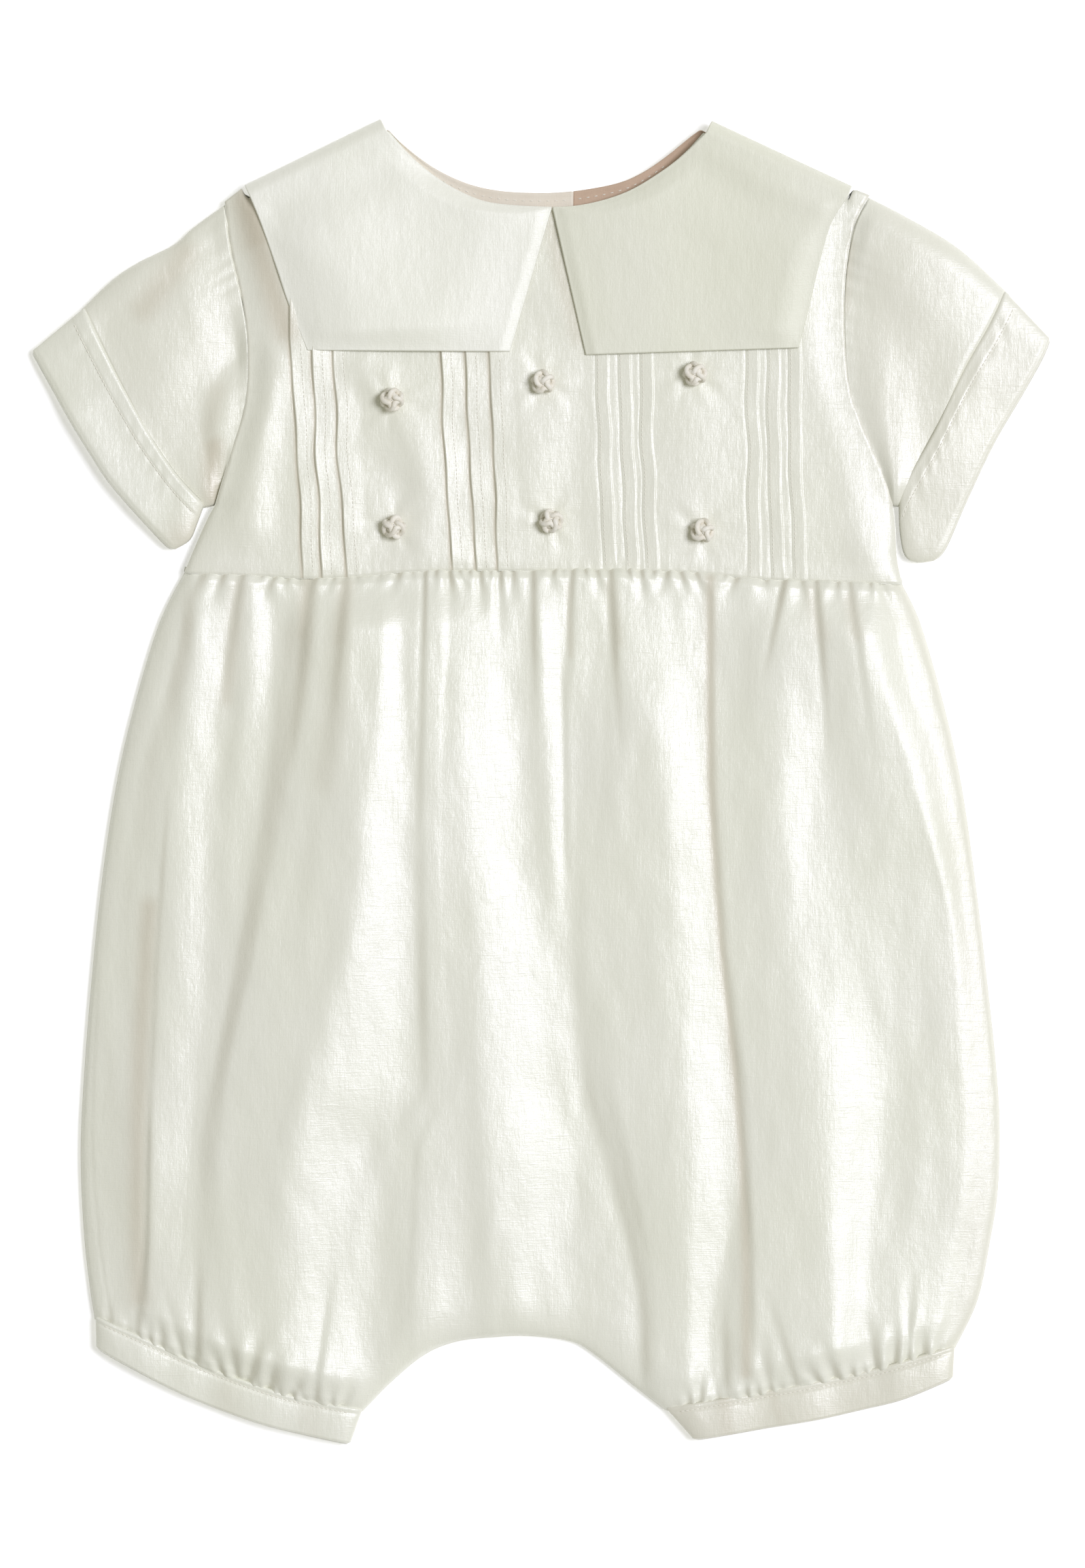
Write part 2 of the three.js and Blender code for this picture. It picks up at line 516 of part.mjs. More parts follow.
// Columns of row v: three for each tuck, and plain ones between the groups of tucks
function bodiceColumns(v) {
  const columns = [{ x: bodiceSide("front", "left", v).x, rise: 0 }];
  TUCKS.forEach((tuck, k) => {
    const edge = tuckX(tuck, v);
    const profile = [
      { x: edge - tuck.pressed * TUCK.depth, rise: 0 },
      { x: edge, rise: TUCK.rise },
      { x: edge + tuck.pressed * TUCK.drop, rise: 0 },
    ];
    if (tuck.pressed < 0) profile.reverse();
    if (k % TUCK_GROUP === 0) columns.push(...plainColumns(columns.at(-1).x, profile[0].x));
    columns.push(...profile);
  });
  const last = bodiceSide("front", "right", v).x;
  columns.push(...plainColumns(columns.at(-1).x, last), { x: last, rise: 0 });
  return columns;
}

function plainColumns(from, to) {
  return steps(3).slice(1, -1).map((t) => ({ x: lerp(from, to, t), rise: 0 }));
}

function frontBodice() {
  const vs = [0, 0.04, 0.08, 0.15, 0.24, 0.34, 0.44, 0.52, 0.6, 0.7, 0.76, 0.81, 0.88, 1];
  const rows = vs.map(bodiceColumns);
  const plan = rows.map((row, i) => row.map(({ x }) => bodicePoint("front", x, vs[i])));
  const relief = (i, j) => rows[i][j].rise * ease(vs[i] / TUCK.fadeAtNeck);
  return panel(plan, bodiceTop, { floor: () => FRONT_FLOOR, relief });
}

// The back bodice lies on the back of the collar, and comes down to the surface below it
function backBodice(side) {
  const lift = (p) => BACK_LIFT * ease((p.y - 124) / 9);
  const opening = BACK_OPENING + (side === "left" ? -0.5 : 0.5) * SEAM_GAP;
  const us = [0, 0.07, 0.22, 0.36, 0.5, 0.64, 0.78, 0.93, 1];
  const plan = [0, 0.05, 0.14, 0.28, 0.43, 0.49, 0.55, 0.61, 0.7, 0.81, 1].map((v) => {
    const edge = bodiceSide("back", side, v).x;
    const [from, to] = side === "left" ? [edge, opening] : [opening, edge];
    return us.map((u) => bodicePoint("back", lerp(from, to, u), v));
  });
  return panel(plan, (p) => lift(p) + CLOTH, { floor: lift });
}

// The facing inside the back neck, on each side of the opening
function neckFacing(side) {
  const opening = BACK_OPENING + (side === "left" ? -0.5 : 0.5) * SEAM_GAP;
  const [from, to] = side === "left" ? [FACING.left, opening] : [opening, FACING.right];
  const plan = [0, 0.5, 1].map((v) => steps(12).map((u) => {
    const x = lerp(from, to, u);
    const width = lerp(FACING.endWidth, FACING.width, ease(Math.abs(x - FACING[side]) / FACING.taper));
    return new THREE.Vector2(x, upperEdge("back", x) - v * width);
  }));
  return panel(plan, () => FACING_FLOOR + FACING_CLOTH, { cloth: FACING_CLOTH });
}

// ---- sleeves ----

function sleeve(side) {
  const outward = side === "left" ? -1 : 1;
  const table = SLEEVES[side];
  const armhole = shifted(armholes[side], outward * CURVED_GAP, 0);
  const cuffLine = shifted(smooth(table.cuffLine), -outward * SEAM_GAP * 0.4, SEAM_GAP * 0.3);
  const fold = fitted(smooth(table.fold), armhole(0), cuffLine(0));
  const plan = patch(armhole, cuffLine, fold, straight(armhole(1), cuffLine(1)));
  const level = (w, s) => {
    const plain = lerp(lerp(SLEEVE_TOP.armhole, SLEEVE_TOP.middle, ease(s / 0.35)), SLEEVE_TOP.cuff,
      ease((s - 0.5) / 0.5));
    const strength = Math.sin(Math.PI * clamp(s, 0, 1));
    const folds = SLEEVE_FOLDS[side].map((fold) => {
      const reach = Math.abs(w - lerp(fold.armhole, fold.cuff, s)) / fold.width;
      return reach < 1 ? fold.rise * strength * Math.cos((reach * Math.PI) / 2) ** 2 : 0;
    });
    return folds.reduce((sum, rise) => sum + rise, plain);
  };
  return flatTube(plan, tubeShares(14), steps(6), level, CLOTH);
}

function sleeveCuff(side) {
  const outward = side === "left" ? -1 : 1;
  const table = SLEEVES[side];
  const cuffLine = shifted(smooth(table.cuffLine), outward * SEAM_GAP * 0.4, -SEAM_GAP * 0.3);
  const hem = smooth(table.hem);
  const under = fitted(smooth(table.underCuff), cuffLine(1), hem(1));
  const plan = patch(cuffLine, hem, straight(cuffLine(0), hem(0)), under);
  const level = (w, s) => lerp(CUFF_TOP, CUFF_TOP - 1.2, s);
  return flatTube(plan, tubeShares(14), [0, 0.08, 0.5, 0.92, 1], level, BAND_CLOTH);
}

// ---- collar ----

// One half of the collar: up from its front hem, round the shoulder seam and down the back
function collar(side) {
  const inwards = side === "left" ? 1 : -1;
  const table = COLLARS[side];
  const [neck, shoulder, innerHem] = [table.neck, table.shoulder, table.innerHem].map(vector);
  const along = neck.clone().sub(shoulder).normalize();
  const outward = new THREE.Vector2(-along.y, along.x).multiplyScalar(inwards);
  const turnAxis = [shoulder, neck].map((p) => p.clone().addScaledVector(outward, -COLLAR_TURN));
  const outerHem = vector(table.outerEdge[0]);
  const outerEdge = fitted(smooth(table.outerEdge), outerHem, turnAxis[0]);

  // One leaf of the plan: u from the outer to the inner edge, and v from the hem to the turn
  const leaf = (face) => {
    const line = neckLines[face];
    const partingX = COLLAR_PARTING[face] - (inwards * SEAM_GAP) / 2;
    const from = shareAtX(line, partingX);
    const to = shareAtX(line, turnAxis[1].x + inwards * 0.6);
    const miss = turnAxis[1].clone().sub(line(to));
    const neckEdge = (t) => line(lerp(from, to, t)).addScaledVector(miss, t ** 3);
    const hemEnd = face === "front" ? innerHem : new THREE.Vector2(partingX, innerHem.y);
    const innerEdge = chain([straight(hemEnd, line(from)), 0.5], [neckEdge, 0.5]);
    return patch(straight(outerHem, hemEnd), straight(...turnAxis), outerEdge, innerEdge);
  };
  const [front, back] = [leaf("front"), leaf("back")];
  const height = (u, v) => {
    const onNeck = (1 - ease((1 - u) / 0.14)) * ease((v - 0.4) / 0.1) * (1 - ease((v - 0.8) / 0.2));
    return lerp(lerp(COLLAR_TOP.hem, COLLAR_TOP.shoulder, ease(v)), COLLAR_TOP.neck, onNeck);
  };

  const us = [0, 0.2, 0.45, 0.7, 0.86, 0.94, 1];
  const up = new THREE.Vector3(0, 0, 1);
  const rows = [0, 0.17, 0.34, 0.5, 0.6, 0.7, 0.8, 0.9].map((v) => us.map((u) => (
    { point: new THREE.Vector3(...front(u, v).toArray(), height(u, v)), normal: up })));
  for (const turn of steps(6)) {
    const angle = (0.5 - turn) * Math.PI;
    const sideways = Math.cos(angle);
    const normal = new THREE.Vector3(outward.x * sideways, outward.y * sideways, Math.sin(angle));
    rows.push(us.map((u) => {
      const axis = new THREE.Vector3(...front(u, 1).toArray(), COLLAR_TURN);
      return { point: axis.addScaledVector(normal, COLLAR_TURN), normal };
    }));
  }
  for (const v of [0.9, 0.8, 0.7, 0.6, 0.5, 0]) rows.push(us.map((u) => (
    { point: new THREE.Vector3(...back(u, v).toArray(), 0), normal: up.clone().negate() })));
  const outer = rows.map((row) => row.map(({ point }) => point));
  const inset = ({ point, normal }) => point.clone().addScaledVector(normal, -COLLAR_CLOTH);
  return wall(outer, rows.map((row) => row.map(inset)));
}

// ---- buttons ----

// A ball knotted from cord, flat where it sits on the cloth
function knotButton({ x, y, turn }) {
  const geometry = new THREE.SphereGeometry(1, 14, 9);
  geometry.rotateX(Math.PI / 2);
  const position = geometry.attributes.position;
  const ground = 0.12; // share of the ball that is pressed flat
  for (let i = 0; i < position.count; i++) {
    const p = new THREE.Vector3().fromBufferAttribute(position, i);
    const around = Math.atan2(p.y, p.x);
    const rise = Math.acos(clamp(p.z, -1, 1));
    p.multiplyScalar(1 + KNOT.relief * Math.cos(4 * around) * Math.sin(3 * rise) * Math.sin(rise));
    const z = Math.max(0, (p.z + 1 - 2 * ground) / (2 - 2 * ground));
    position.setXYZ(i, p.x * KNOT.radius, p.y * KNOT.radius, z * KNOT.height);
  }
  geometry.rotateZ(THREE.MathUtils.degToRad(turn));
  geometry.translate(x, y, bodiceTop(new THREE.Vector2(x, y)) + SEAM_GAP + 0.1);
  return geometry;
}

// ---- the romper ----

const ivorySilk = { color: IVORY, roughness: 0.5, metalness: 0 };
const facingCloth = { color: FACING_COLOUR, roughness: 0.8, metalness: 0 };
const knotCord = { color: KNOT_COLOUR, roughness: 0.75, metalness: 0 };

const romper = new THREE.Group();

function add(name, geometry, finish) {
  const mesh = new THREE.Mesh(geometry, new THREE.MeshStandardMaterial(finish));
  mesh.name = name;
  romper.add(mesh);
}

add("front_body", frontBody(), ivorySilk);
add("back_body", backBody(), ivorySilk);
add("front_bodice", frontBodice(), ivorySilk);
for (const side of ["left", "right"]) {
  add(`back_bodice_${side}`, backBodice(side), ivorySilk);
  add(`neck_facing_${side}`, neckFacing(side), facingCloth);
  add(`collar_${side}`, collar(side), ivorySilk);
  add(`sleeve_${side}`, sleeve(side), ivorySilk);
  add(`sleeve_cuff_${side}`, sleeveCuff(side), ivorySilk);
  add(`leg_band_${side}`, legBand(side), ivorySilk);
}
for (const button of BUTTONS) add(button.name, knotButton(button), knotCord);

export default romper;
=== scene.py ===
import math
from collections import namedtuple

import bpy
import numpy as np
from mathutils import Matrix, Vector


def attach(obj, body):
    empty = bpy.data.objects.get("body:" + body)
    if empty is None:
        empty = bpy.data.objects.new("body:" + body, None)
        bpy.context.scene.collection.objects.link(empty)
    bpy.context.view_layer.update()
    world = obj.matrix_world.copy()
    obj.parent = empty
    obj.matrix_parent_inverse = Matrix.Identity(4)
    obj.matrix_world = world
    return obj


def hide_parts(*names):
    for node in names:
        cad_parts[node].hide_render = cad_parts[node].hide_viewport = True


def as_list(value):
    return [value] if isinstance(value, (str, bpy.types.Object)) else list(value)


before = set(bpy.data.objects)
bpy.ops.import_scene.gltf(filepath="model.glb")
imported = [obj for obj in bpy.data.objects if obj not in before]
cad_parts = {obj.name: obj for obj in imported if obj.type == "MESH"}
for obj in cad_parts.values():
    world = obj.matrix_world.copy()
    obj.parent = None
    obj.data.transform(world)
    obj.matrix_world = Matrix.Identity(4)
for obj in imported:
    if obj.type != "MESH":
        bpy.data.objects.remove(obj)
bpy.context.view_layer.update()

# A baby romper of ivory silk laid flat, front up. Every table and level is in millimetres, in the frame of
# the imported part: +X to the viewer's right, +Y from the legs to the neck, +Z up from the surface. A mesh is
# turned into metres when it is made.
MM = 0.001
SIDES = ("left", "right")
RNG = np.random.default_rng(7)

# ---- sizes that the scene shares with the part ----

SEAM_GAP = 0.3
COLLAR_TURN = 4.5  # outer radius of the collar's turn over the shoulder
COLLAR_CLOTH = 0.75
BACK_LIFT = 1.6  # the back bodice lies on the back of the collar
FRONT_FLOOR = 3.1
BODY_FLOOR = 1.5
BODICE_TOP = 5.7
ARMHOLE_TOP = 5.0  # both sides of the armhole seam
WAIST_TOP = 5.2
BAND_TOP = 5.4
CUFF_TOP = 6.4
SLEEVE_TOP = {"middle": 6.6, "cuff": 5.4}
COLLAR_TOP = {"shoulder": 2 * COLLAR_TURN, "hem": 7.6, "neck": 7.3}
BODY_ROUND = 12
BODICE_ROUND = 8
TUBE_ROUND = 8
TUBE_WIDTH = 90  # about, of every sleeve, cuff and leg band as it lies
BAND_SHARE = 0.36  # of the body's lower edge, for each leg band
BACK_OPENING = 10.2  # its x
# The facing's ends in x, its width, and how it narrows towards its ends
FACING = {"width": 13, "left": -49.5, "right": 53, "endWidth": 2.5, "taper": 24}

# Cloth of the visible shells
SILK = 0.9
BAND_SILK = 1.5
FACING_SILK = 0.7

BODY = {
    "left": [(-113.2, 66.2), (-121.2, 50), (-128.8, 25), (-134.6, 0), (-139.2, -30), (-142.4, -60),
             (-145, -92), (-146.2, -118), (-145.2, -143), (-143.4, -160), (-141.7, -171)],
    "right": [(114.5, 62.7), (120.4, 50), (127.6, 25), (133.2, 0), (137.6, -30), (141.2, -60), (144.4, -90),
              (145.6, -110), (145, -130), (142.6, -146), (138.6, -165), (131.5, -180.2)],
    "waist": [(-113.2, 66.2), (-94, 65.6), (-75, 64.6), (-57, 65.2), (-35, 66.9), (25, 66.9), (48, 66.4),
              (72, 64.2), (114.5, 62.7)],
    "crotch": [(-56.8, -200.3), (-47.5, -190.8), (-37, -182.2), (-26.8, -178), (-15, -176.6), (-4, -176.2),
               (9, -177.8), (16.4, -181.6), (30.7, -193), (39.7, -199.9)],
}
LEG_BANDS = {
    "left": {
        "seam": [(-141.7, -171), (-125, -178.2), (-109, -185.6), (-84, -194.6), (-68, -198.4),
                 (-56.8, -200.3)],
        "hem": [(-141.5, -179.6), (-130, -186), (-114.7, -194), (-99, -200.4), (-83.6, -205.2),
                (-60.5, -210.2)],
    },
    "right": {
        "seam": [(39.7, -199.9), (56, -197.3), (80, -193), (106, -187.6), (120, -183.6), (131.5, -180.2)],
        "hem": [(48.2, -209), (71, -205.2), (89, -202.2), (102, -199.2), (115, -195.8), (131, -189.2)],
    },
}
BODICE = {
    "left": {
        "armhole": [(-100.4, 184), (-98.6, 169.5), (-94.9, 153), (-93.1, 138.5), (-93.8, 121),
                    (-98.7, 103.4), (-103.4, 87.8)],
        "side": [(-103.4, 87.8), (-106, 83), (-110.2, 73.6), (-113.2, 66.2)],
        "shoulder": [(-100.4, 184), (-95, 188), (-93.4, 184.6), (-48, 206.7)],
    },
    "right": {
        "armhole": [(104.1, 186), (99.5, 177), (96.8, 163), (96.1, 147.6), (97.4, 128), (101.7, 113.7),
                    (108.9, 97.3), (111.6, 87.2)],
        "side": [(111.6, 87.2), (112.4, 80), (112.8, 71), (114.5, 62.7)],
        "shoulder": [(104.1, 186), (99.2, 187.8), (97.6, 184.1), (51, 206.2)],
    },
}
NECK = {
    "front": [(-51.2, 210.2), (-42.3, 199.8), (-33.9, 192.3), (-24.8, 186.7), (-15, 183.4), (3.4, 182.2),
              (15, 183.2), (27.2, 187), (38, 193.6), (46.2, 200.5), (54.4, 209.6)],
    "back": [(-51.2, 210.2), (-44.7, 203), (-34.8, 195.3), (-24, 190), (-13.4, 187.5), (-1.7, 186.8),
             (9.7, 187.3), (23.1, 189.6), (31.3, 192.8), (39.5, 198.2), (48, 205.1), (54.4, 209.6)],
}
COLLARS = {
    "left": {"neck": (-51.2, 210.2), "shoulder": (-94.1, 189.3), "innerHem": (-10, 136.4),
             "outerEdge": [(-74.2, 136.8), (-80, 151.5), (-83.8, 163.1), (-88.4, 176.4), (-91.8, 184.9)]},
    "right": {"neck": (54.4, 209.6), "shoulder": (98.6, 189), "innerHem": (14.3, 135.4),
              "outerEdge": [(81.6, 137.6), (85.2, 152), (88.1, 164.4), (91.6, 176.3), (96.7, 184.6)]},
}
# x where the two collars meet
COLLAR_PARTING = {"front": 3.5, "back": BACK_OPENING}
SLEEVES = {
    "left": {
        "fold": [(-100.8, 184), (-111, 176.4), (-117, 171), (-128, 165.4), (-136, 159.8), (-145.6, 150.2)],
        "cuffLine": [(-145.6, 150.2), (-140, 138.6), (-133.3, 125.4), (-124.6, 109.8), (-115.8, 96.7),
                     (-107.2, 87.4)],
        "hem": [(-161.5, 137), (-155.2, 125.3), (-149.8, 115.4), (-143.1, 104.3), (-135.6, 93.3),
                (-120, 76.3), (-116.2, 73.6)],
        "underCuff": [(-107.2, 87.4), (-109.2, 82), (-111.6, 76.6), (-116.2, 73.6)],
    },
    "right": {
        "fold": [(104.4, 186), (116, 180), (132.4, 170), (147.7, 155.6)],
        "cuffLine": [(147.7, 155.6), (142.3, 144.4), (134.1, 130), (124.8, 110.5), (116.2, 95.4),
                     (113.6, 88)],
        "hem": [(161.5, 141), (158.8, 134.4), (152.3, 122.5), (143.4, 107), (134.6, 88.5), (128.2, 74.2),
                (124.8, 69.9)],
        "underCuff": [(113.6, 88), (114, 79), (115.6, 71.6), (119.4, 69.4), (124.8, 69.9)],
    },
}

# Folds of the front: x and height of each line down the front where it crosses the stations in y
FOLD_STATIONS = [54, 0, -54, -95, -119, -175]
FOLD_LINES = [
    # line, x at the stations, height at the stations
    ("left rim", [-115, -129, -136, -140, -141, -137], [5.2, 5.4, 5.3, 5.2, 5.1, 4.8]),
    ("crest", [-109, -115, -115, -118.5, -120.5, -121], [6.8, 7.7, 8.2, 8.4, 8.5, 7.3]),
    ("trough", [-99, -102, -105.5, -109.3, -111.5, -115.5], [5.3, 6.4, 7.8, 8.0, 8.2, 7.8]),
    ("crest", [-91.5, -96, -101.5, -107, -110, -113.5], [6.2, 6.9, 8.0, 8.1, 8.3, 7.9]),
    ("foot", [-85, -89, -97.5, -105, -109, -111.5], [5.2, 7.1, 8.3, 8.3, 8.4, 8.0]),
    ("top", [-70.5, -79.5, -90, -99, -100.5, -101.5], [8.8, 9.9, 10.9, 10.4, 10.6, 9.5]),
    ("foot", [-68, -72, -79, -88, -91.5, -96.5], [9.1, 10.9, 12.0, 11.8, 11.5, 10.1]),
    ("top", [-59.5, -63, -71.5, -80.5, -85.5, -91.5], [11.3, 12.8, 12.8, 12.5, 12.0, 10.2]),
    ("crest", [-50.5, -55.5, -62, -73, -79, -84.5], [11.2, 13.4, 13.7, 13.4, 12.6, 10.3]),
    ("trough", [-44, -40.5, -40, -39, -53, -64.5], [9.9, 10.8, 9.6, 8.4, 8.5, 7.9]),
    ("crest", [-34, -36.5, -35.5, -35, -46, -52.5], [9.6, 11.1, 10.6, 9.0, 8.4, 6.7]),
    ("trough", [-31, -33.5, -32.5, -31.5, -41, -43], [9.4, 11.1, 10.7, 9.1, 8.5, 7.6]),
    ("crest", [-29, -31, -30, -28, -38, -39.5], [9.0, 11.0, 10.6, 9.1, 8.9, 8.0]),
    ("trough", [-26, -29, -28, -24.5, -24, -23], [9.0, 11.0, 10.6, 9.2, 8.7, 6.1]),
    ("crest", [-23, -27, -21.5, -19.5, -18, -14], [8.9, 11.0, 10.6, 9.6, 9.2, 6.8]),
    ("trough", [-5.5, -4, 2, 3, 9, 8], [6.9, 7.5, 6.8, 5.9, 4.9, 4.5]),
    ("crest", [-1, 1.5, 5, 7.5, 12, 12], [7.4, 7.8, 6.4, 5.4, 4.5, 4.4]),
    ("trough", [8, 8.5, 9.5, 13, 19, 31], [6.0, 6.7, 6.1, 4.8, 4.2, 4.4]),
    ("foot", [20.5, 18, 14.5, 17, 24, 35], [6.1, 7.4, 6.7, 5.6, 5.4, 5.7]),
    ("top", [25, 23.5, 23.5, 24.5, 29, 38], [6.9, 8.3, 7.3, 7.1, 6.9, 6.3]),
    ("crest", [29, 38, 41.5, 45, 46.5, 46], [7.2, 9.3, 8.3, 8.2, 8.2, 6.8]),
    ("trough", [53.5, 54, 57.5, 62, 63.5, 54.5], [5.6, 7.1, 6.2, 5.9, 6.0, 5.4]),
    ("top", [57.5, 57.5, 61, 65.5, 67.5, 68], [5.8, 7.4, 6.7, 6.7, 6.8, 7.6]),
    ("crest", [78.5, 74.5, 79, 88.5, 90, 91.5], [8.6, 9.0, 8.4, 8.8, 9.1, 10.0]),
    ("trough", [87.5, 90.5, 100, 112, 109.5, 103.5], [9.0, 7.6, 6.9, 5.5, 5.8, 7.1]),
    ("top", [100.5, 108, 114.5, 117.5, 117, 112], [10.9, 9.2, 6.6, 5.6, 5.8, 6.8]),
    ("crest", [104, 117, 131, 132.5, 133, 126], [10.6, 9.3, 6.6, 6.0, 6.0, 6.0]),
    ("right rim", [114.5, 128.5, 137, 140.5, 141.5, 131.5], [7.0, 6.0, 5.4, 5.1, 5.0, 4.8]),
]

# Pin tucks of the front bodice: x of the folded edge at three heights, and the way each is pressed
Tuck = namedtuple("Tuck", "collar middle waist pressed")
TUCKS = [Tuck(*row) for row in [
    (-79.9, -77.3, -75.6, -1), (-73.0, -71.4, -69.6, -1), (-66.4, -64.6, -61.6, -1),
    (-32.0, -30.7, -28.1, -1), (-24.2, -22.7, -20.5, -1), (-16.6, -14.9, -13.8, -1),
    (21.2, 22.2, 24.0, 1), (28.3, 29.4, 31.1, 1), (35.4, 35.6, 37.4, 1),
    (68.8, 69.4, 69.8, 1), (75.6, 75.8, 77.3, 1), (82.4, 82.6, 84.4, 1),
]]
# How a tuck's flap lies, by the way it is pressed: its width, its rise at the folded edge, and half the run
# of the drop there
Flap = namedtuple("Flap", "width rise lip")
FLAPS = {-1: Flap(7.2, 0.85, 0.3), 1: Flap(5.6, 0.36, 0.35)}

# Knot buttons, each turned by some degrees
Button = namedtuple("Button", "node x y turn")
BUTTONS = [Button(*row) for row in [
    ("button_upper_left", -47.3, 120.9, 20), ("button_upper_middle", 0.6, 126.5, -15),
    ("button_upper_right", 48.8, 129.1, 0), ("button_lower_left", -46.7, 80.5, 10),
    ("button_lower_middle", 3.2, 82.4, -40), ("button_lower_right", 51.2, 79.4, -30),
]]

# ---- creases, dents and painted shades that only the scene has ----

# Creases at a gathered seam. `lean` is how far one drifts in x on its way, and a negative depth is a ridge.
Crease = namedtuple("Crease", "x lean length depth width")
WAIST_CREASES = [Crease(*row) for row in [
    (-108.5, -3, 9, 0.5, 1.2), (-101.7, -4, 13, 0.8, 1.3), (-89.5, 3, 12, 0.6, 1.5),
    (-85.4, -4, 10, 0.7, 1.1), (-81.2, -1.5, 6, 0.5, 0.9), (-77, 0, 5, 0.5, 0.9), (-68.8, -1, 5, 0.5, 0.7),
    (-66.5, -2, 7, 0.7, 0.9), (-59, 0.5, 5, 0.5, 0.9), (-51.7, -1, 4, 0.4, 0.8), (-45.7, -2.2, 8, 0.7, 1),
    (-41.5, 0.6, 4, 0.4, 0.7), (-34, -0.5, 5, 0.5, 0.7), (-29.6, 1.1, 15, 1, 1), (-26.8, 4.2, 9, 0.6, 0.8),
    (-23.4, 1.6, 6, 0.5, 0.8), (-19.9, 1, 17, 0.8, 0.9), (-16.6, 0.4, 6, 0.4, 0.6),
    (-13.6, 0.6, 26, 0.7, 0.9), (-9.4, -0.3, 12, 0.7, 0.9), (3.4, -0.8, 8, 0.6, 0.9),
    (6.6, 0.2, 4, 0.4, 0.6), (13.4, 2, 6, 0.5, 0.8), (17, 2.6, 12, 0.7, 1), (27, 3.5, 8, 0.5, 0.9),
    (31, 2, 13, 0.8, 1), (35, 0.6, 5, 0.5, 0.8), (39.3, -2, 9, 0.8, 1), (43.4, 3.2, 9, 0.6, 0.9),
    (48.4, 3.6, 10, 0.7, 1), (58, -1, 4, 0.4, 0.7), (61.4, -3.6, 9, 0.7, 1), (66, 2, 12, -0.6, 2),
    (71, -1, 5, 0.5, 0.8), (82, 1, 14, 0.7, 1.3), (93.6, -1.5, 9, 0.7, 0.9), (104, 0.3, 8, 0.6, 0.9),
    (108, 4, 13, 0.8, 1.2),
]]
# Long creases at the same seam, with the cloth higher on their right
WAIST_STEPS = [Crease(*row) for row in [
    (-94.5, -8, 52, 0.8, 1.3), (-72, -7, 64, 1.1, 1.6), (-61, -6, 60, 0.9, 1.6),
    (-36.4, -2.2, 90, 0.8, 0.9), (-2.2, 1, 52, 0.9, 1.1), (10.2, -1.6, 46, 0.8, 0.9),
    (22.4, 3.6, 60, 1.1, 1.2), (77.6, -7, 34, 0.9, 0.9), (87.6, 4.5, 56, 1, 1), (98.3, 8, 56, 0.8, 1.1),
]]
BAND_CREASES = [Crease(*row) for row in [
    (-137.8, 0, 10, 0.6, 0.9), (-131.5, 1, 7, 0.5, 0.8), (-124.6, 0.6, 9, 0.7, 0.9),
    (-121, 0.5, 16, 0.7, 1), (-113.6, -6.5, 22, 0.7, 1.2), (-111, 0, 7, 0.6, 0.8),
    (-101.9, -2, 10, 0.9, 1.1), (-96.4, -4.5, 20, 1.2, 1.4), (-93.7, 7, 26, 1.4, 1.3),
    (-90, 0.5, 6, 0.6, 0.8), (-86.8, 3.4, 18, 1.3, 1.2), (-83.2, -0.5, 6, 0.6, 0.8),
    (-79.9, 7, 15, 1.2, 1.2), (-75.5, -1.2, 7, 0.7, 0.9), (-66.8, 1.3, 9, 0.9, 0.9),
    (-63.7, 6.5, 15, 1, 1.2), (47, -1, 8, 0.8, 0.9), (50.2, 0.2, 14, 1, 0.9), (53.2, 0.3, 6, 0.7, 0.8),
    (56, -1.2, 10, 0.9, 0.9), (64.9, -0.6, 10, 0.9, 0.9), (68.8, -1.2, 9, 0.8, 0.9),
    (72.6, -5, 24, 0.9, 1.2), (76, -2, 8, 0.6, 0.9), (88, -6, 10, 0.7, 1), (93.3, -6, 18, 1.2, 1.3),
    (98.5, -0.8, 8, 0.8, 0.9), (102.6, -1.2, 11, 1, 1), (105.8, -3, 22, 1.3, 1.2),
    (111.5, 1.6, 17, 1.3, 1.2), (116, 1.4, 34, 0.8, 0.9), (121.1, -1.3, 14, 1.4, 1.3),
    (125.7, 1.2, 8, 0.8, 0.9),
]]
BAND_STEPS = [Crease(*row) for row in [
    (-127.8, 4, 40, 0.8, 1.2), (-108.5, 0.8, 40, 1.1, 1.2), (-71.3, 6, 44, 1.1, 1.2),
    (59.6, -1, 36, 1, 1.3), (82, -10.5, 36, 0.9, 1.3),
]]

# Long folds where one lap of cloth ends over the next: the step's line, rise, run and how far the rise fades
Lap = namedtuple("Lap", "line rise run fade")
LAPS = [
    Lap([(54.2, 66), (54.4, 0), (58.2, -54), (62.4, -90), (65.4, -125), (67, -150), (67.6, -192)],
        0.4, 0.35, 7),
    Lap([(-118.6, -10), (-121.6, -54), (-124, -110)], 0.3, 0.3, 6),
    Lap([(-124, -104), (-124.6, -140), (-125.6, -168)], 0.7, 0.25, 5),
    Lap([(7.4, 40), (8.2, 0), (8.4, -40)], 0.3, 0.3, 5),
]

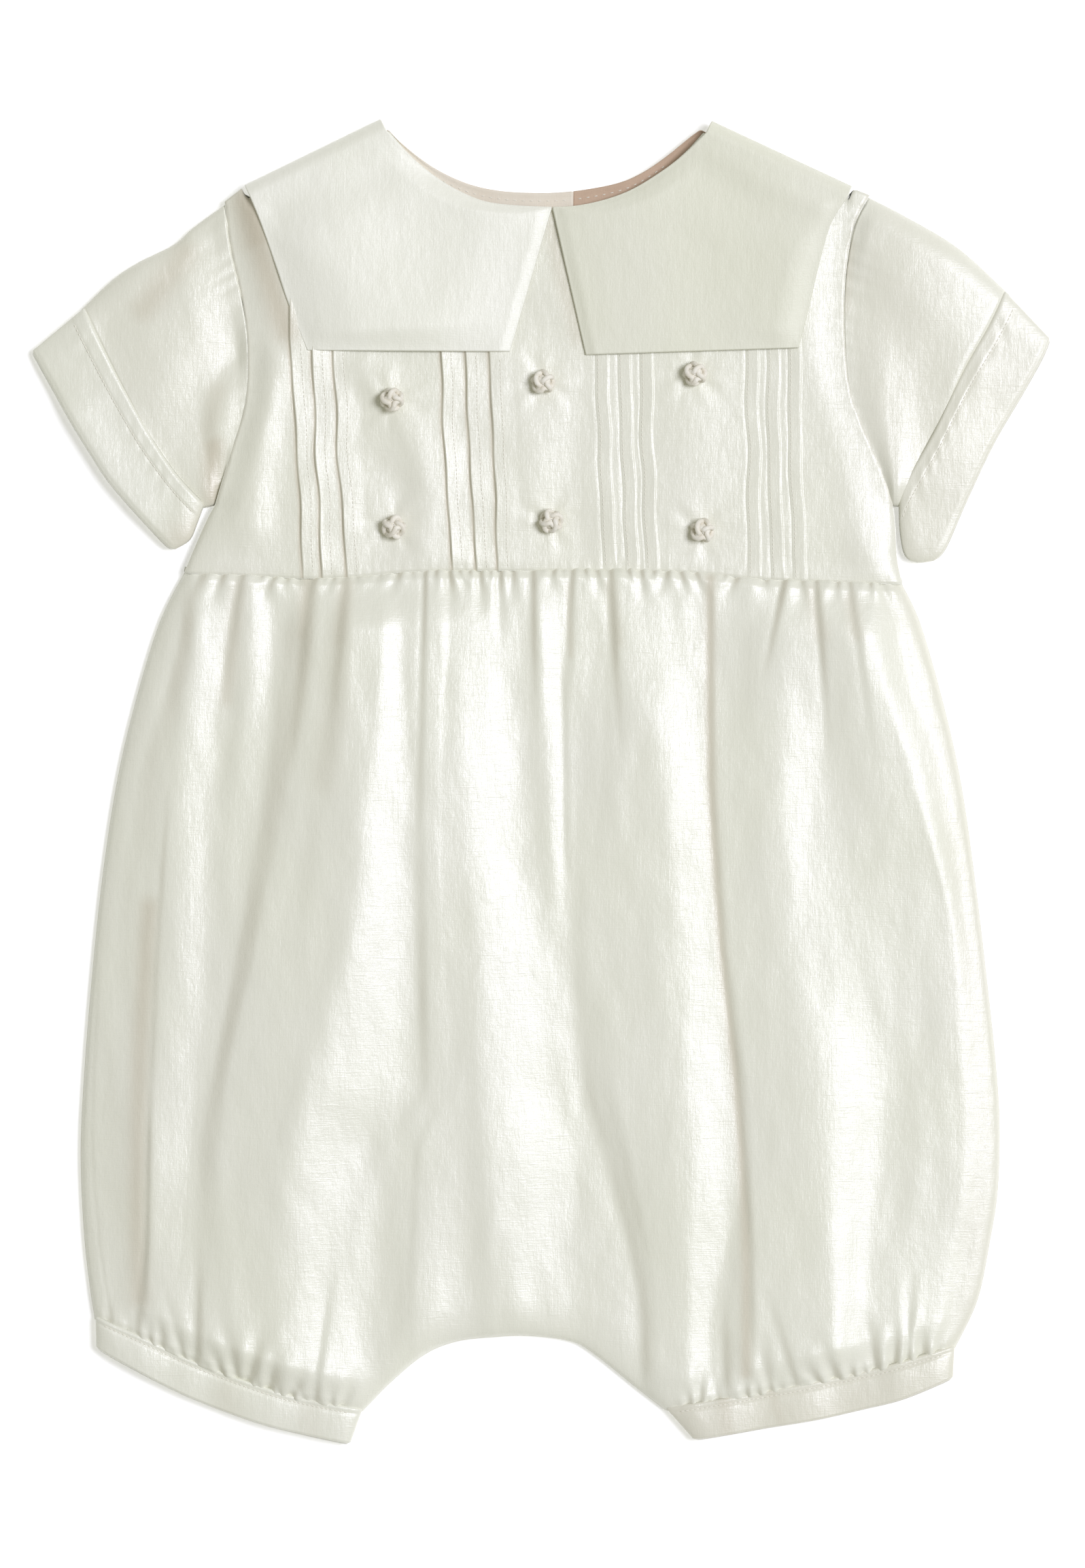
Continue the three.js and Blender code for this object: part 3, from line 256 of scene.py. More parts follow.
# Broad soft forms along a line of plan points: a ridge, or with a negative rise a hollow. `left` and `right`
# are its widths on the two sides, as one walks the line.
Swell = namedtuple("Swell", "line left right rise")
BODICE_SWELLS = [
    Swell([(-89, 185), (-84, 170), (-80, 156), (-75, 141)], 12, 6, 1.0),
    Swell([(-90, 182), (-86, 170)], 10, 5, 0.9),
    Swell([(-84, 132), (-89, 112), (-92, 82)], 6, 8, 1.3),
    Swell([(88, 172), (88, 140), (96, 116), (103, 92), (104, 72)], 9, 7, 1.1),
    Swell([(-57, 132), (-39, 104), (-38, 74)], 7, 5, 0.8),
    Swell([(-52, 100), (-44, 92)], 6, 6, -0.5),
    Swell([(-10, 134), (-5, 108), (-7, 76)], 8, 8, 0.5),
    Swell([(14, 128), (10, 96), (14, 74)], 6, 6, -0.4),
    Swell([(42, 124), (43, 100), (41, 78)], 9, 9, 0.35),
    Swell([(62, 124), (63, 92), (62, 74)], 10, 8, -0.25),
]
SLEEVE_SWELLS = {
    "left": [
        Swell([(-108, 174), (-118, 164), (-128, 155), (-136, 150)], 9, 9, -1.1),
        Swell([(-97, 136), (-103, 130), (-107.5, 121), (-108.5, 111), (-106, 100), (-103, 90)], 6, 12, -2.0),
    ],
    "right": [
        Swell([(112, 152), (117, 138), (120, 124), (121, 112)], 16, 12, -0.9),
        Swell([(106, 170), (115, 160), (125, 149), (131.5, 139), (134, 128)], 16, 12, 1.4),
        Swell([(127, 112), (119, 96)], 5, 6, 0.5),
    ],
}
CUFF_SWELLS = {
    "left": [Swell([(-149, 114), (-140, 99), (-131, 86)], 10, 8, 1.7)],
    "right": [Swell([(139, 128), (131, 112), (124, 98)], 10, 12, 0.7)],
}
COLLAR_SWELLS = {
    "left": [
        Swell([(-70, 172), (-62, 158), (-56, 140)], 26, 14, 2.2),
        Swell([(-44, 200), (-62, 190), (-86, 180)], 10, 10, -1.2),
        Swell([(-18, 176), (-24, 160), (-32, 142)], 12, 14, 0.9),
    ],
    "right": [
        Swell([(92, 178), (86, 152), (84, 138)], 9, 24, 1.2),
        Swell([(50, 196), (66, 184), (84, 178)], 8, 10, -0.9),
        Swell([(30, 168), (34, 150), (36, 140)], 14, 18, 0.6),
    ],
}
# Painted shade, mixed into the colour where cloth lies deep beside or under other cloth, and light reaches it
# warm from all round
Shade = namedtuple("Shade", "line width strength")
BODICE_SHADES = [
    Shade([(-93, 184), (-90, 172)], 5.5, 0.75), Shade([(-90, 172), (-86, 158), (-81, 143)], 4.5, 0.6),
    Shade([(3.5, 178), (7, 160), (12, 141)], 3.5, 0.35),
]
BODY_SHADES = [
    Shade([(53.6, 64), (53.8, 0), (57.2, -54), (61.2, -90), (64, -125), (65, -150), (65, -188)], 1.8, 0.5),
    Shade([(-124.4, -40), (-127.4, -90), (-128.2, -140), (-127.6, -164)], 3.2, 0.45),
    Shade([(-74, 64), (-75.5, 46)], 2.6, 0.4), Shade([(-75.5, 46), (-78, 24), (-82, 4)], 3.4, 0.16),
    Shade([(-62, 62), (-64, 44)], 2.6, 0.36), Shade([(-64, 44), (-66, 20), (-69, 0)], 4.4, 0.15),
    Shade([(117, 62), (128, 20), (136, -30), (141, -100), (139, -150), (133, -188)], 7, 0.16),
    Shade([(-96, 62), (-97.5, 48), (-100, 26)], 2.6, 0.3), Shade([(22, 62), (24, 44)], 2.0, 0.3),
    Shade([(86, 60), (89, 46)], 2.4, 0.32), Shade([(98, 58), (100, 46)], 2.2, 0.3),
    Shade([(8.6, 62), (9.4, 40)], 1.2, 0.3),
]
SLEEVE_SHADES = {
    "left": [
        Shade([(-128, 140), (-104, 100)], 90, 0.08), Shade([(-104, 106), (-104.5, 97), (-104, 90)], 4, 0.6),
        Shade([(-103, 124), (-106, 110)], 4, 0.25), Shade([(-113, 167), (-119, 159), (-126, 150)], 5, 0.4),
    ],
    "right": [
        Shade([(98, 170), (96.5, 150)], 2.5, 0.3), Shade([(112, 156), (117, 132), (118, 108)], 30, 0.13),
    ],
}
CUFF_SHADES = {
    "left": [Shade([(-106, 82), (-114, 77)], 5.5, 0.4)],
    "right": [Shade([(144, 130), (132, 104), (122, 80)], 24, 0.16)],
}
BAND_SHADES = {
    "left": [Shade([(-100, -195), (-99, -203)], 5, 0.14), Shade([(-74, -201), (-73, -209)], 4, 0.1)],
    "right": [
        Shade([(40, -204), (88, -201), (133, -188)], 18, 0.24), Shade([(58, -196), (59, -206)], 4, 0.4),
        Shade([(73, -193), (76, -203)], 3, 0.36), Shade([(101, -189), (102, -197)], 2.5, 0.2),
    ],
}

# ---- numbers and curves ----


def lerp(a, b, t):
    return a + (b - a) * t


def ease(t):
    s = np.clip(t, 0, 1)
    return s * s * (3 - 2 * s)


def bell(t):
    """A smooth bump: 1 at 0, and next to nothing past 2 on either side"""
    return np.exp(-(t**2))


def fading(distance, run):
    """1 up to a line, and less and less past it"""
    return np.exp(-np.maximum(distance, 0) / run)


def waves(along, pitch, sway, drift):
    """Waves of -1 to 1 that come closer together and farther apart by turns"""
    return np.sin(along * pitch + sway * np.sin(along * drift))


def onset(t):
    """A soft step from 0 to 1, half way at 0"""
    return 1 / (1 + np.exp(-np.clip(t, -30, 30)))


def unit(vectors):
    return vectors / np.maximum(np.linalg.norm(vectors, axis=-1, keepdims=True), 1e-9)


def thicker_at_ends(count, share=0.62):
    """Numbers from 0 to 1 that lie closer together near both ends, the more so with a greater share"""
    t = np.linspace(0, 1, count)
    return t - share * np.sin(2 * np.pi * t) / (2 * np.pi)


def round_off(distance, run):
    """Quarter-round: 0 at an edge, 1 from `run` inwards"""
    return np.sqrt(1 - (1 - np.clip(distance / run, 0, 1)) ** 2)


def smooth(points, samples=600):
    """A smooth curve through points, read by the share of its length"""
    p = np.array(points, float)
    at = np.linspace(0, len(p) - 1, samples + 1)
    k = np.minimum(at.astype(int), len(p) - 2)
    t = (at - k)[:, None]
    before, after = p[np.maximum(k - 1, 0)], p[np.minimum(k + 2, len(p) - 1)]
    p0, p1 = p[k], p[k + 1]
    v0, v1 = (p1 - before) / 2, (after - p0) / 2
    line = (2 * (p0 - p1) + v0 + v1) * t**3 + (3 * (p1 - p0) - 2 * v0 - v1) * t**2 + v0 * t + p0
    along = np.concatenate([[0], np.cumsum(np.linalg.norm(np.diff(line, axis=0), axis=1))])
    along /= along[-1]
    return lambda share: np.stack([np.interp(share, along, line[:, i]) for i in (0, 1)], -1)


def straight(a, b):
    a, b = np.array(a, float), np.array(b, float)
    return lambda t: a + (b - a) * np.asarray(t, float)[..., None]


def shifted(curve, dx, dy):
    return lambda t: curve(t) + (dx, dy)


def fitted(curve, start, end):
    """A curve with its ends moved to start and end"""
    from_start, from_end = start - curve(0.0), end - curve(1.0)

    def moved(t):
        t = np.asarray(t, float)
        return curve(t) + from_start * (1 - t)[..., None] + from_end * t[..., None]

    return moved


def chain(*links):
    """Curves end to end, each over its own share of t"""

    def joined(t):
        t = np.asarray(t, float)
        out = np.zeros(t.shape + (2,))
        start = 0.0
        for k, (curve, share) in enumerate(links):
            last = k == len(links) - 1
            here = (t >= start) & ((t < start + share) | last)
            out[here] = curve(np.clip((t[here] - start) / share, 0, 1))
            start += share
        return out

    return joined


def share_at_x(curve, x):
    shares = np.linspace(0, 1, 2001)
    return np.interp(x, curve(shares)[:, 0], shares)


def y_at_x(curve, x, samples=2001):
    line = curve(np.linspace(0, 1, samples))
    return np.interp(x, line[:, 0], line[:, 1])


def stretches(curve, samples, points):
    """For each short stretch of a curve: its direction, the points seen from its start, and their distance"""
    line = curve(np.linspace(0, 1, samples))
    for a, b in zip(line[:-1], line[1:]):
        d, to_point = b - a, points - a
        t = np.clip((to_point @ d) / (d @ d), 0, 1)
        yield d, to_point, np.linalg.norm(to_point - t[..., None] * d, axis=-1)


def distance_to(points, *curves, samples=160):
    """Distance from plan points to the nearest of some curves"""
    best = np.full(points.shape[:-1], np.inf)
    for curve in curves:
        for _, _, away in stretches(curve, samples, points):
            best = np.minimum(best, away)
    return best


def through(knots, values, x):
    """The value at x of curves through rising knots that never overshoot them, flat beyond their ends"""
    gap = np.diff(knots, axis=-1)
    slope = np.diff(values, axis=-1) / gap
    before, after = slope[..., :-1], slope[..., 1:]
    total = np.where(before * after > 0, before + after, 1)
    inner = np.where(before * after > 0, 2 * before * after / total, 0)
    tangent = np.concatenate([np.zeros_like(inner[..., :1]), inner, np.zeros_like(inner[..., :1])], -1)
    k = np.clip((knots <= x[..., None]).sum(-1) - 1, 0, knots.shape[-1] - 2)
    at = lambda a, shift=0: np.take_along_axis(a, (k + shift)[..., None], -1)[..., 0]
    span = at(gap)
    t = np.clip((x - at(knots)) / span, 0, 1)
    start, rise = at(values), at(values, 1) - at(values)
    m0, m1 = at(tangent) * span, at(tangent, 1) * span
    return start + t * m0 + t**2 * (3 * rise - 2 * m0 - m1) + t**3 * (m0 + m1 - 2 * rise)


def patch(top, bottom, left, right, us, vs):
    """Plan points of a four-sided patch, [v][u]: u runs along top and bottom, and v from top to bottom"""
    us, vs = np.asarray(us, float), np.asarray(vs, float)
    t, b = top(us)[None], bottom(us)[None]
    l, r = left(vs)[:, None], right(vs)[:, None]
    u, v = us[None, :, None], vs[:, None, None]
    ends = np.array([0.0, 1.0])
    (t0, t1), (b0, b1) = top(ends), bottom(ends)
    return lerp(t, b, v) + lerp(l, r, u) - lerp(lerp(t0, t1, u), lerp(b0, b1, u), v)


def ripple(points, size, seed=0):
    """A smooth uneven field of about -1 to 1, with forms of about `size`"""
    rng = np.random.default_rng(seed)
    total = np.zeros(points.shape[:-1])
    for turn in (0.3, 1.2):
        c, s = math.cos(turn), math.sin(turn)
        lattice = rng.uniform(-1, 1, (96, 96))
        x, y = points[..., 0], points[..., 1]
        place = np.stack([x * c - y * s, x * s + y * c]) / size
        cell = np.floor(place).astype(int)
        weights = []
        for t in place - cell:
            weights.append([(1 - t) ** 3 / 6, (3 * t**3 - 6 * t**2 + 4) / 6,
                            (-3 * t**3 + 3 * t**2 + 3 * t + 1) / 6, t**3 / 6])
        for i in range(4):
            for j in range(4):
                total += weights[0][i] * weights[1][j] * lattice[(cell[0] + i) % 96, (cell[1] + j) % 96]
    return 1.6 * total


def swell(points, form):
    """Height that a Swell adds at plan points"""
    best = np.full(points.shape[:-1], np.inf)
    width = np.full(points.shape[:-1], float(form.left))
    for d, to_point, away in stretches(smooth(form.line), 24, points):
        turn = d[0] * to_point[..., 1] - d[1] * to_point[..., 0]
        turn /= np.maximum(away * np.linalg.norm(d), 1e-9)
        nearer = away < best
        best = np.where(nearer, away, best)
        width = np.where(nearer, lerp(form.right, form.left, (1 + turn) / 2), width)
    return form.rise * bell(best / width)


def swells(points, forms):
    return sum(swell(points, form) for form in forms)


def shade(points, shades):
    """How deep plan points lie in the warm shade of other cloth, 0 to 1, as painted shade"""
    total = np.zeros(points.shape[:-1])
    for spot in shades:
        away = distance_to(points, smooth(spot.line), samples=16)
        total = np.maximum(total, spot.strength * bell(away / spot.width))
    return total


def crease_relief(x, away, creases):
    """Height that creases add at a distance from their seam: a narrow trough between two softer shoulders"""
    total = np.zeros_like(x)
    for c in creases:
        s = np.clip(away / c.length, 0, 1)
        strength = (1 - s) ** 1.4 * ease((away + 1.0) / 1.5)
        across = (x - c.x - c.lean * s) / (c.width * (1 + 1.1 * s))
        shoulders = np.exp(-((np.abs(across) - 2.1) ** 2) / 1.4)
        total += c.depth * strength * (0.5 * shoulders - bell(across))
    return total


def step_relief(x, away, steps):
    """Height of long creases that run from their seam: a short rise to the right, which then fades out"""
    total = np.zeros_like(x)
    for c in steps:
        s = np.clip(away / c.length, 0, 1)
        strength = (1 - s) ** 0.8 * ease((away + 1.0) / 1.5)
        past = x - c.x - c.lean * s
        rise = onset(past / (0.45 * c.width * (1 + 0.6 * s)))
        dip = 0.35 * bell((past + 1.2 * c.width) / (1.3 * c.width))
        total += c.depth * strength * (rise * fading(past, 9) - dip)
    return total


def lap_relief(points, lap):
    """Height of a lap's edge: a short rise to the right of its line, with a slight dip before it"""
    line = np.array(lap.line, float)[::-1]
    y = points[..., 1]
    past = points[..., 0] - np.interp(y, line[:, 1], line[:, 0])
    ends = ease((y - line[0, 1] + 4) / 26) * ease((line[-1, 1] - y + 12) / 26)
    dip = 0.3 * bell((past + 1.3) / 1.4)
    return lap.rise * ends * (onset(past / lap.run) * fading(past, lap.fade) - dip)


# ---- meshes ----


def mesh_piece(name, points, quads, tris=(), material=None, slot="ivory_silk", tint=None):
    """A piece from points in millimetres. Its painted shade, 0 to 1 at each point, is stored as an attribute,
    which the silk reads to mix its colour towards the darker shade colour.
    """
    quads, tris = np.asarray(quads, int).reshape(-1, 4), np.asarray(tris, int).reshape(-1, 3)
    points = np.asarray(points, float).reshape(-1, 3)
    mesh = bpy.data.meshes.new(name)
    mesh.from_pydata((points * MM).tolist(), [], quads.tolist() + tris.tolist())
    mesh.validate()
    if signed_volume(points, quads, tris) < 0:
        mesh.flip_normals()
    mesh.shade_smooth()
    if tint is not None:
        attribute = mesh.attributes.new("painted_shade_attribute", "FLOAT", "POINT")
        attribute.data.foreach_set("value", np.asarray(tint, np.float32).ravel())
    piece = placed(name, mesh)
    mesh.materials.append(material)
    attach(piece, "root")
    return piece


def cloth_piece(node, points, quads, tris=(), material=None, **finish):
    """The cloth that is seen in place of a node of the part, of the body's silk unless told otherwise"""
    piece = mesh_piece(f"{node}_cloth", points, quads, tris, material or BODY_SILK, **finish)
    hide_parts(node)
    return piece


def signed_volume(points, quads, tris):
    """Six times the volume of a closed mesh, below 0 if its faces look inwards"""
    total = 0.0
    for faces in (quads[:, [0, 1, 2]], quads[:, [0, 2, 3]], tris):
        a, b, c = (points[faces[:, i]] for i in range(3))
        total += (a * np.cross(b, c)).sum()
    return total


def grid_quads(rows, columns, start=0, ring=False):
    """The quads of a grid of points numbered row by row from start. A ring's rows close on themselves."""
    i, j = np.meshgrid(np.arange(rows - 1), np.arange(columns if ring else columns - 1), indexing="ij")
    k = (j + 1) % columns
    corners = [i * columns + j, (i + 1) * columns + j, (i + 1) * columns + k, i * columns + k]
    return start + np.stack(corners, -1).reshape(-1, 4)


def border(rows, columns):
    """The grid indices round the edge of a grid, as one loop of (row, column)"""
    top = [(0, j) for j in range(columns)]
    right = [(i, columns - 1) for i in range(1, rows)]
    bottom = [(rows - 1, j) for j in range(columns - 2, -1, -1)]
    left = [(i, 0) for i in range(rows - 2, 0, -1)]
    return top + right + bottom + left


def kept_lines(count, step):
    """Every `step`th number below count, and the last one"""
    return np.unique(np.concatenate([np.arange(0, count, step), [count - 1]]))


def lowest_near(values, reach):
    """The lowest value within `reach` cells, along both axes"""
    padded = np.pad(values, reach, constant_values=np.inf)
    window = (2 * reach + 1, 2 * reach + 1)
    return np.lib.stride_tricks.sliding_window_view(padded, window).min(axis=(2, 3))


def rim_direction(top):
    """The grid indices round a grid's edge, and the way straight outwards at each"""
    rows, columns = top.shape[:2]
    edge = np.array(border(rows, columns))
    inside = top[np.clip(edge[:, 0], 1, rows - 2), np.clip(edge[:, 1], 1, columns - 2)]
    return edge, top[edge[:, 0], edge[:, 1]] - inside


def shell(node, top, cloth, floor, tint, step=4):
    """A closed thin wall under a grid of top points, with a rounded rim. The face below keeps every `step`th
    line of the grid, and stays under the lowest of the points that it skips."""
    rows, columns = top.shape[:2]
    i_kept, j_kept = kept_lines(rows, step), kept_lines(columns, step)
    edge, outward = rim_direction(top)
    edge_points = top[edge[:, 0], edge[:, 1]]
    outward[:, 2] = 0
    rim = edge_points + unit(outward) * 0.3 * cloth
    rim[:, 2] = (edge_points[:, 2] + np.maximum(edge_points[:, 2] - cloth, floor)) / 2
    low = top[np.ix_(i_kept, j_kept)].copy()
    low[..., 2] = lowest_near(top[..., 2], step)[np.ix_(i_kept, j_kept)]
    low[[0, -1], :, 2] = top[np.ix_([0, rows - 1], j_kept)][..., 2]
    low[:, [0, -1], 2] = top[np.ix_(i_kept, [0, columns - 1])][..., 2]
    low[..., 2] = np.maximum(low[..., 2] - cloth, floor)

    n_top, n_rim = rows * columns, len(edge)
    low_start = n_top + n_rim
    at_top, ring = edge[:, 0] * columns + edge[:, 1], n_top + np.arange(n_rim)
    quads = np.concatenate([
        grid_quads(rows, columns),
        np.stack([at_top, ring, np.roll(ring, -1), np.roll(at_top, -1)], -1)[:, ::-1],
        grid_quads(len(i_kept), len(j_kept), low_start)[:, ::-1],
    ])
    row_at, column_at = {r: k for k, r in enumerate(i_kept)}, {c: k for k, c in enumerate(j_kept)}
    marks = [(k, low_start + row_at[r] * len(j_kept) + column_at[c])
             for k, (r, c) in enumerate(edge) if r in row_at and c in column_at]
    tris = []  # fans between the fine rim and the coarser face
    for (a, low_a), (b, low_b) in zip(marks, marks[1:] + [(marks[0][0] + n_rim, marks[0][1])]):
        middle = (a + b) // 2
        tris += [(n_top + k % n_rim, low_a, n_top + (k + 1) % n_rim) for k in range(a, middle)]
        tris.append((n_top + middle % n_rim, low_a, low_b))
        tris += [(n_top + k % n_rim, low_b, n_top + (k + 1) % n_rim) for k in range(middle, b)]
    points = np.concatenate([top.reshape(-1, 3), rim, low.reshape(-1, 3)])
    tint = np.concatenate([tint.ravel(), np.zeros(n_rim + low[..., 0].size)])
    return cloth_piece(node, points, quads, tris, tint=tint)


def slab(node, top, under, **finish):
    """A closed wall between two grids of the same size, with a rounded rim"""
    rows, columns = top.shape[:2]
    edge, outward = rim_direction(top)
    at = edge[:, 0] * columns + edge[:, 1]
    high, low = top.reshape(-1, 3), under.reshape(-1, 3)
    thickness = np.linalg.norm(high[at] - low[at], axis=1, keepdims=True)
    rim = (high[at] + low[at]) / 2 + unit(outward) * 0.3 * thickness
    n = rows * columns
    rim_at = 2 * n + np.arange(len(at))
    quads = [grid_quads(rows, columns), grid_quads(rows, columns, n)[:, ::-1]]
    for a, b in ((at, rim_at), (rim_at, n + at)):
        quads.append(np.stack([a, b, np.roll(b, -1), np.roll(a, -1)], -1)[:, ::-1])
    return cloth_piece(node, np.concatenate([high, low, rim]), np.concatenate(quads), **finish)


def layer(node, plan, under, cloth=SILK, **finish):
    """A layer of cloth over plan points, with its lower face at the heights `under`"""
    return slab(node, np.dstack([plan, under + cloth]), np.dstack([plan, under]), **finish)


def tube(node, outer, inner, tint):
    """An open tube between two grids of rings, [ring][point round it], with rounded ends"""
    rims = []
    for end, near in ((0, 1), (-1, -2)):
        outward = outer[end] - outer[near]
        outward[:, 2] = 0
        thickness = np.linalg.norm(outer[end] - inner[end], axis=1, keepdims=True)
        rims.append((outer[end] + inner[end]) / 2 + unit(outward) * 0.35 * thickness)
    rings = np.concatenate([outer, rims[1][None], inner[::-1], rims[0][None]])
    rows, columns = rings.shape[:2]
    quads = grid_quads(rows + 1, columns, ring=True) % (rows * columns)
    return cloth_piece(node, rings, quads, tint=np.concatenate([tint, tint[-1:], tint[::-1], tint[:1]]))


def joined_parts(parts):
    """One list of points and quads from several (points, quads)"""
    points, quads, start = [], [], 0
    for part_points, part_quads in parts:
        points.append(part_points)
        quads.append(part_quads + start)
        start += len(part_points)
    return np.concatenate(points), np.concatenate(quads)


# ---- materials ----


class Nodes:
    """A material's node tree, with short calls to add and join nodes"""

    def __init__(self, name):
        self.material = bpy.data.materials.new(name)
        self.material.use_nodes = True
        self.tree = self.material.node_tree
        self.shader = self.tree.nodes["Principled BSDF"]
        self.place = self.add("ShaderNodeTexCoord").outputs["Object"]

    def add(self, kind, **inputs):
        node = self.tree.nodes.new(kind)
        for key, value in inputs.items():
            self.set(node, key, value)
        return node

    def set(self, node, key, value):
        if isinstance(value, bpy.types.NodeSocket):
            self.tree.links.new(value, node.inputs[key])
        else:
            node.inputs[key].default_value = value

    def noise(self, stretch, detail=2.0, roughness=0.5):
        """Noise whose forms are 1 / stretch metres along each axis"""
        scaled = self.add("ShaderNodeMapping", Vector=self.place, Scale=stretch)
        node = self.add("ShaderNodeTexNoise", Vector=scaled.outputs[0], Scale=1.0, Detail=detail,
                        Roughness=roughness)
        return node.outputs["Fac"]

    def fill(self, node, values, keys=range(5)):
        """Set several of a node's inputs, by their numbers or names"""
        for key, value in zip(keys, values):
            self.set(node, key, value)

    def total(self, *weighted):
        """The sum of values, each times its weight"""
        height = 0.0
        for value, weight in weighted:
            node = self.add("ShaderNodeMath")
            node.operation = "MULTIPLY_ADD"
            self.fill(node, (value, weight, height))
            height = node.outputs[0]
        return height

    def spread(self, value, low, high, to_low=0.0, to_high=1.0):
        """A value between low and high, as to_low to to_high"""
        node = self.add("ShaderNodeMapRange")
        self.fill(node, (value, low, high, to_low, to_high))
        return node.outputs[0]

    def mix(self, share, a, b):
        node = self.add("ShaderNodeMix")
        node.data_type = "RGBA"
        self.fill(node, (share, a, b), (0, 6, 7))
        return node.outputs[2]

    def relief(self, height, strength, depth):
        """Bump that is as deep as `depth` metres at full height"""
        bump = self.add("ShaderNodeBump", Height=height, Strength=strength, Distance=depth)
        self.set(self.shader, "Normal", bump.outputs[0])

    def surface(self, colour, roughness, sheen=0.0):
        self.fill(self.shader, (colour, roughness, sheen), ("Base Color", "Roughness", "Sheen Weight"))


def silk(name, colour, roughness, sheen, slub, grain, shine=0.9):
    """Lustrous plain-weave silk: fine threads both ways, slubs along the weft, and a grain in its shine"""
    nodes = Nodes(name)
    weft = nodes.noise((220, 5200, 220), 2.0)
    warp = nodes.noise((5200, 300, 300), 1.0)
    slubs = nodes.spread(nodes.noise((130, 1700, 130), 1.0), 0.6, 0.8)
    speckle = nodes.noise((1500, 1500, 1500), 3.0, 0.65)
    crinkle = nodes.noise((190, 110, 190), 4.0, 0.6)
    streaks = nodes.noise((950, 120, 950), 2.0)
    threads = ((weft, 1), (warp, 0.8), (slubs, slub), (speckle, grain), (crinkle, 6), (streaks, 1.1))
    nodes.relief(nodes.total(*threads), strength=0.38, depth=0.00012)
    mottle = nodes.spread(nodes.noise((26, 18, 26), 3.0), 0.35, 0.65)
    duller = [c * f for c, f in zip(colour, (0.985, 0.99, 0.965, 1))]
    base = nodes.mix(mottle, colour, duller)
    # Painted shade: the mesh's attribute mixes the colour towards the darker, warmer shade colour
    painted_shade_attribute = nodes.add("ShaderNodeAttribute")
    painted_shade_attribute.attribute_name = "painted_shade_attribute"
    base = nodes.mix(painted_shade_attribute.outputs["Fac"], base, SHADE_COLOUR)
    nodes.surface(base, nodes.spread(speckle, 0.3, 0.7, roughness - 0.04, roughness + 0.06), sheen)
    nodes.set(nodes.shader, "Sheen Roughness", 0.35)
    nodes.set(nodes.shader, "Specular IOR Level", shine)
    return nodes.material


def facing_material(side, light, dark):
    nodes = Nodes(f"facing_cloth_{side}")
    weave = nodes.total((nodes.noise((300, 4200, 300)), 1), (nodes.noise((4200, 300, 300)), 1))
    nodes.relief(weave, strength=0.5, depth=0.00015)
    tone = nodes.spread(nodes.noise((60, 60, 60), 3.0), 0.35, 0.65)
    nodes.surface(nodes.mix(tone, light, dark), 0.75, 0.15)
    return nodes.material


def cord_material():
    nodes = Nodes("knot_cord")
    nodes.relief(nodes.noise((1800, 1800, 1800), 3.0), strength=0.6, depth=0.0002)
    tone = nodes.spread(nodes.noise((400, 400, 400), 2.0), 0.35, 0.65)
    nodes.surface(nodes.mix(tone, (0.88, 0.85, 0.76, 1), (0.8, 0.76, 0.65, 1)), 0.6, 0.25)
    return nodes.material


def thread_material():
    nodes = Nodes("sewing_thread")
    tone = nodes.noise((900, 900, 900), 2.0)
    nodes.surface(nodes.mix(tone, (0.9, 0.88, 0.8, 1), (0.8, 0.77, 0.67, 1)), 0.5)
    return nodes.material


IVORY = (0.85, 0.85, 0.745, 1)
# The colour of painted shade, in hollows of the cloth and under other cloth
SHADE_COLOUR = (0.62, 0.55, 0.42, 1)
BODY_SILK = silk("ivory_silk", IVORY, 0.32, 0.25, 0.7, 0.9)
# The two collars are lit and shaded copies of one silk: the right one has painted shade, a darker colour,
# with less sheen and shine
COLLAR_SILKS = {
    "left": silk("collar_cloth_left", (0.895, 0.893, 0.8, 1), 0.42, 0.3, 0.4, 1.2),
    "right": silk("collar_cloth_right_painted_shade", (0.8, 0.8, 0.68, 1), 0.42, 0.15, 0.4, 1.2, 0.4),
}
# The right facing's colours are painted shade, darker where the right of the neck's back lies in shade
FACING_CLOTHS = {
    "left": facing_material("left", (0.83, 0.77, 0.66, 1), (0.79, 0.71, 0.59, 1)),
    "right": facing_material("right", (0.62, 0.46, 0.34, 1), (0.55, 0.4, 0.29, 1)),
}
CORD = cord_material()
THREAD = thread_material()

# ---- body ----

body_sides = {side: smooth(BODY[side]) for side in SIDES}
waist_line = smooth(BODY["waist"])
crotch_line = smooth(BODY["crotch"])
leg_seams = {side: smooth(LEG_BANDS[side]["seam"]) for side in SIDES}
body_hem = chain((leg_seams["left"], BAND_SHARE), (crotch_line, 1 - 2 * BAND_SHARE),
                 (leg_seams["right"], BAND_SHARE))
neck_lines = {face: smooth(NECK[face]) for face in ("front", "back")}
armholes = {side: smooth(BODICE[side]["armhole"]) for side in SIDES}
side_seams = {side: smooth(BODICE[side]["side"]) for side in SIDES}
bodice_sides = {side: chain((armholes[side], 0.8), (side_seams[side], 0.2)) for side in SIDES}


def body_plan(us, vs):
    return patch(waist_line, body_hem, body_sides["left"], body_sides["right"], us, vs)


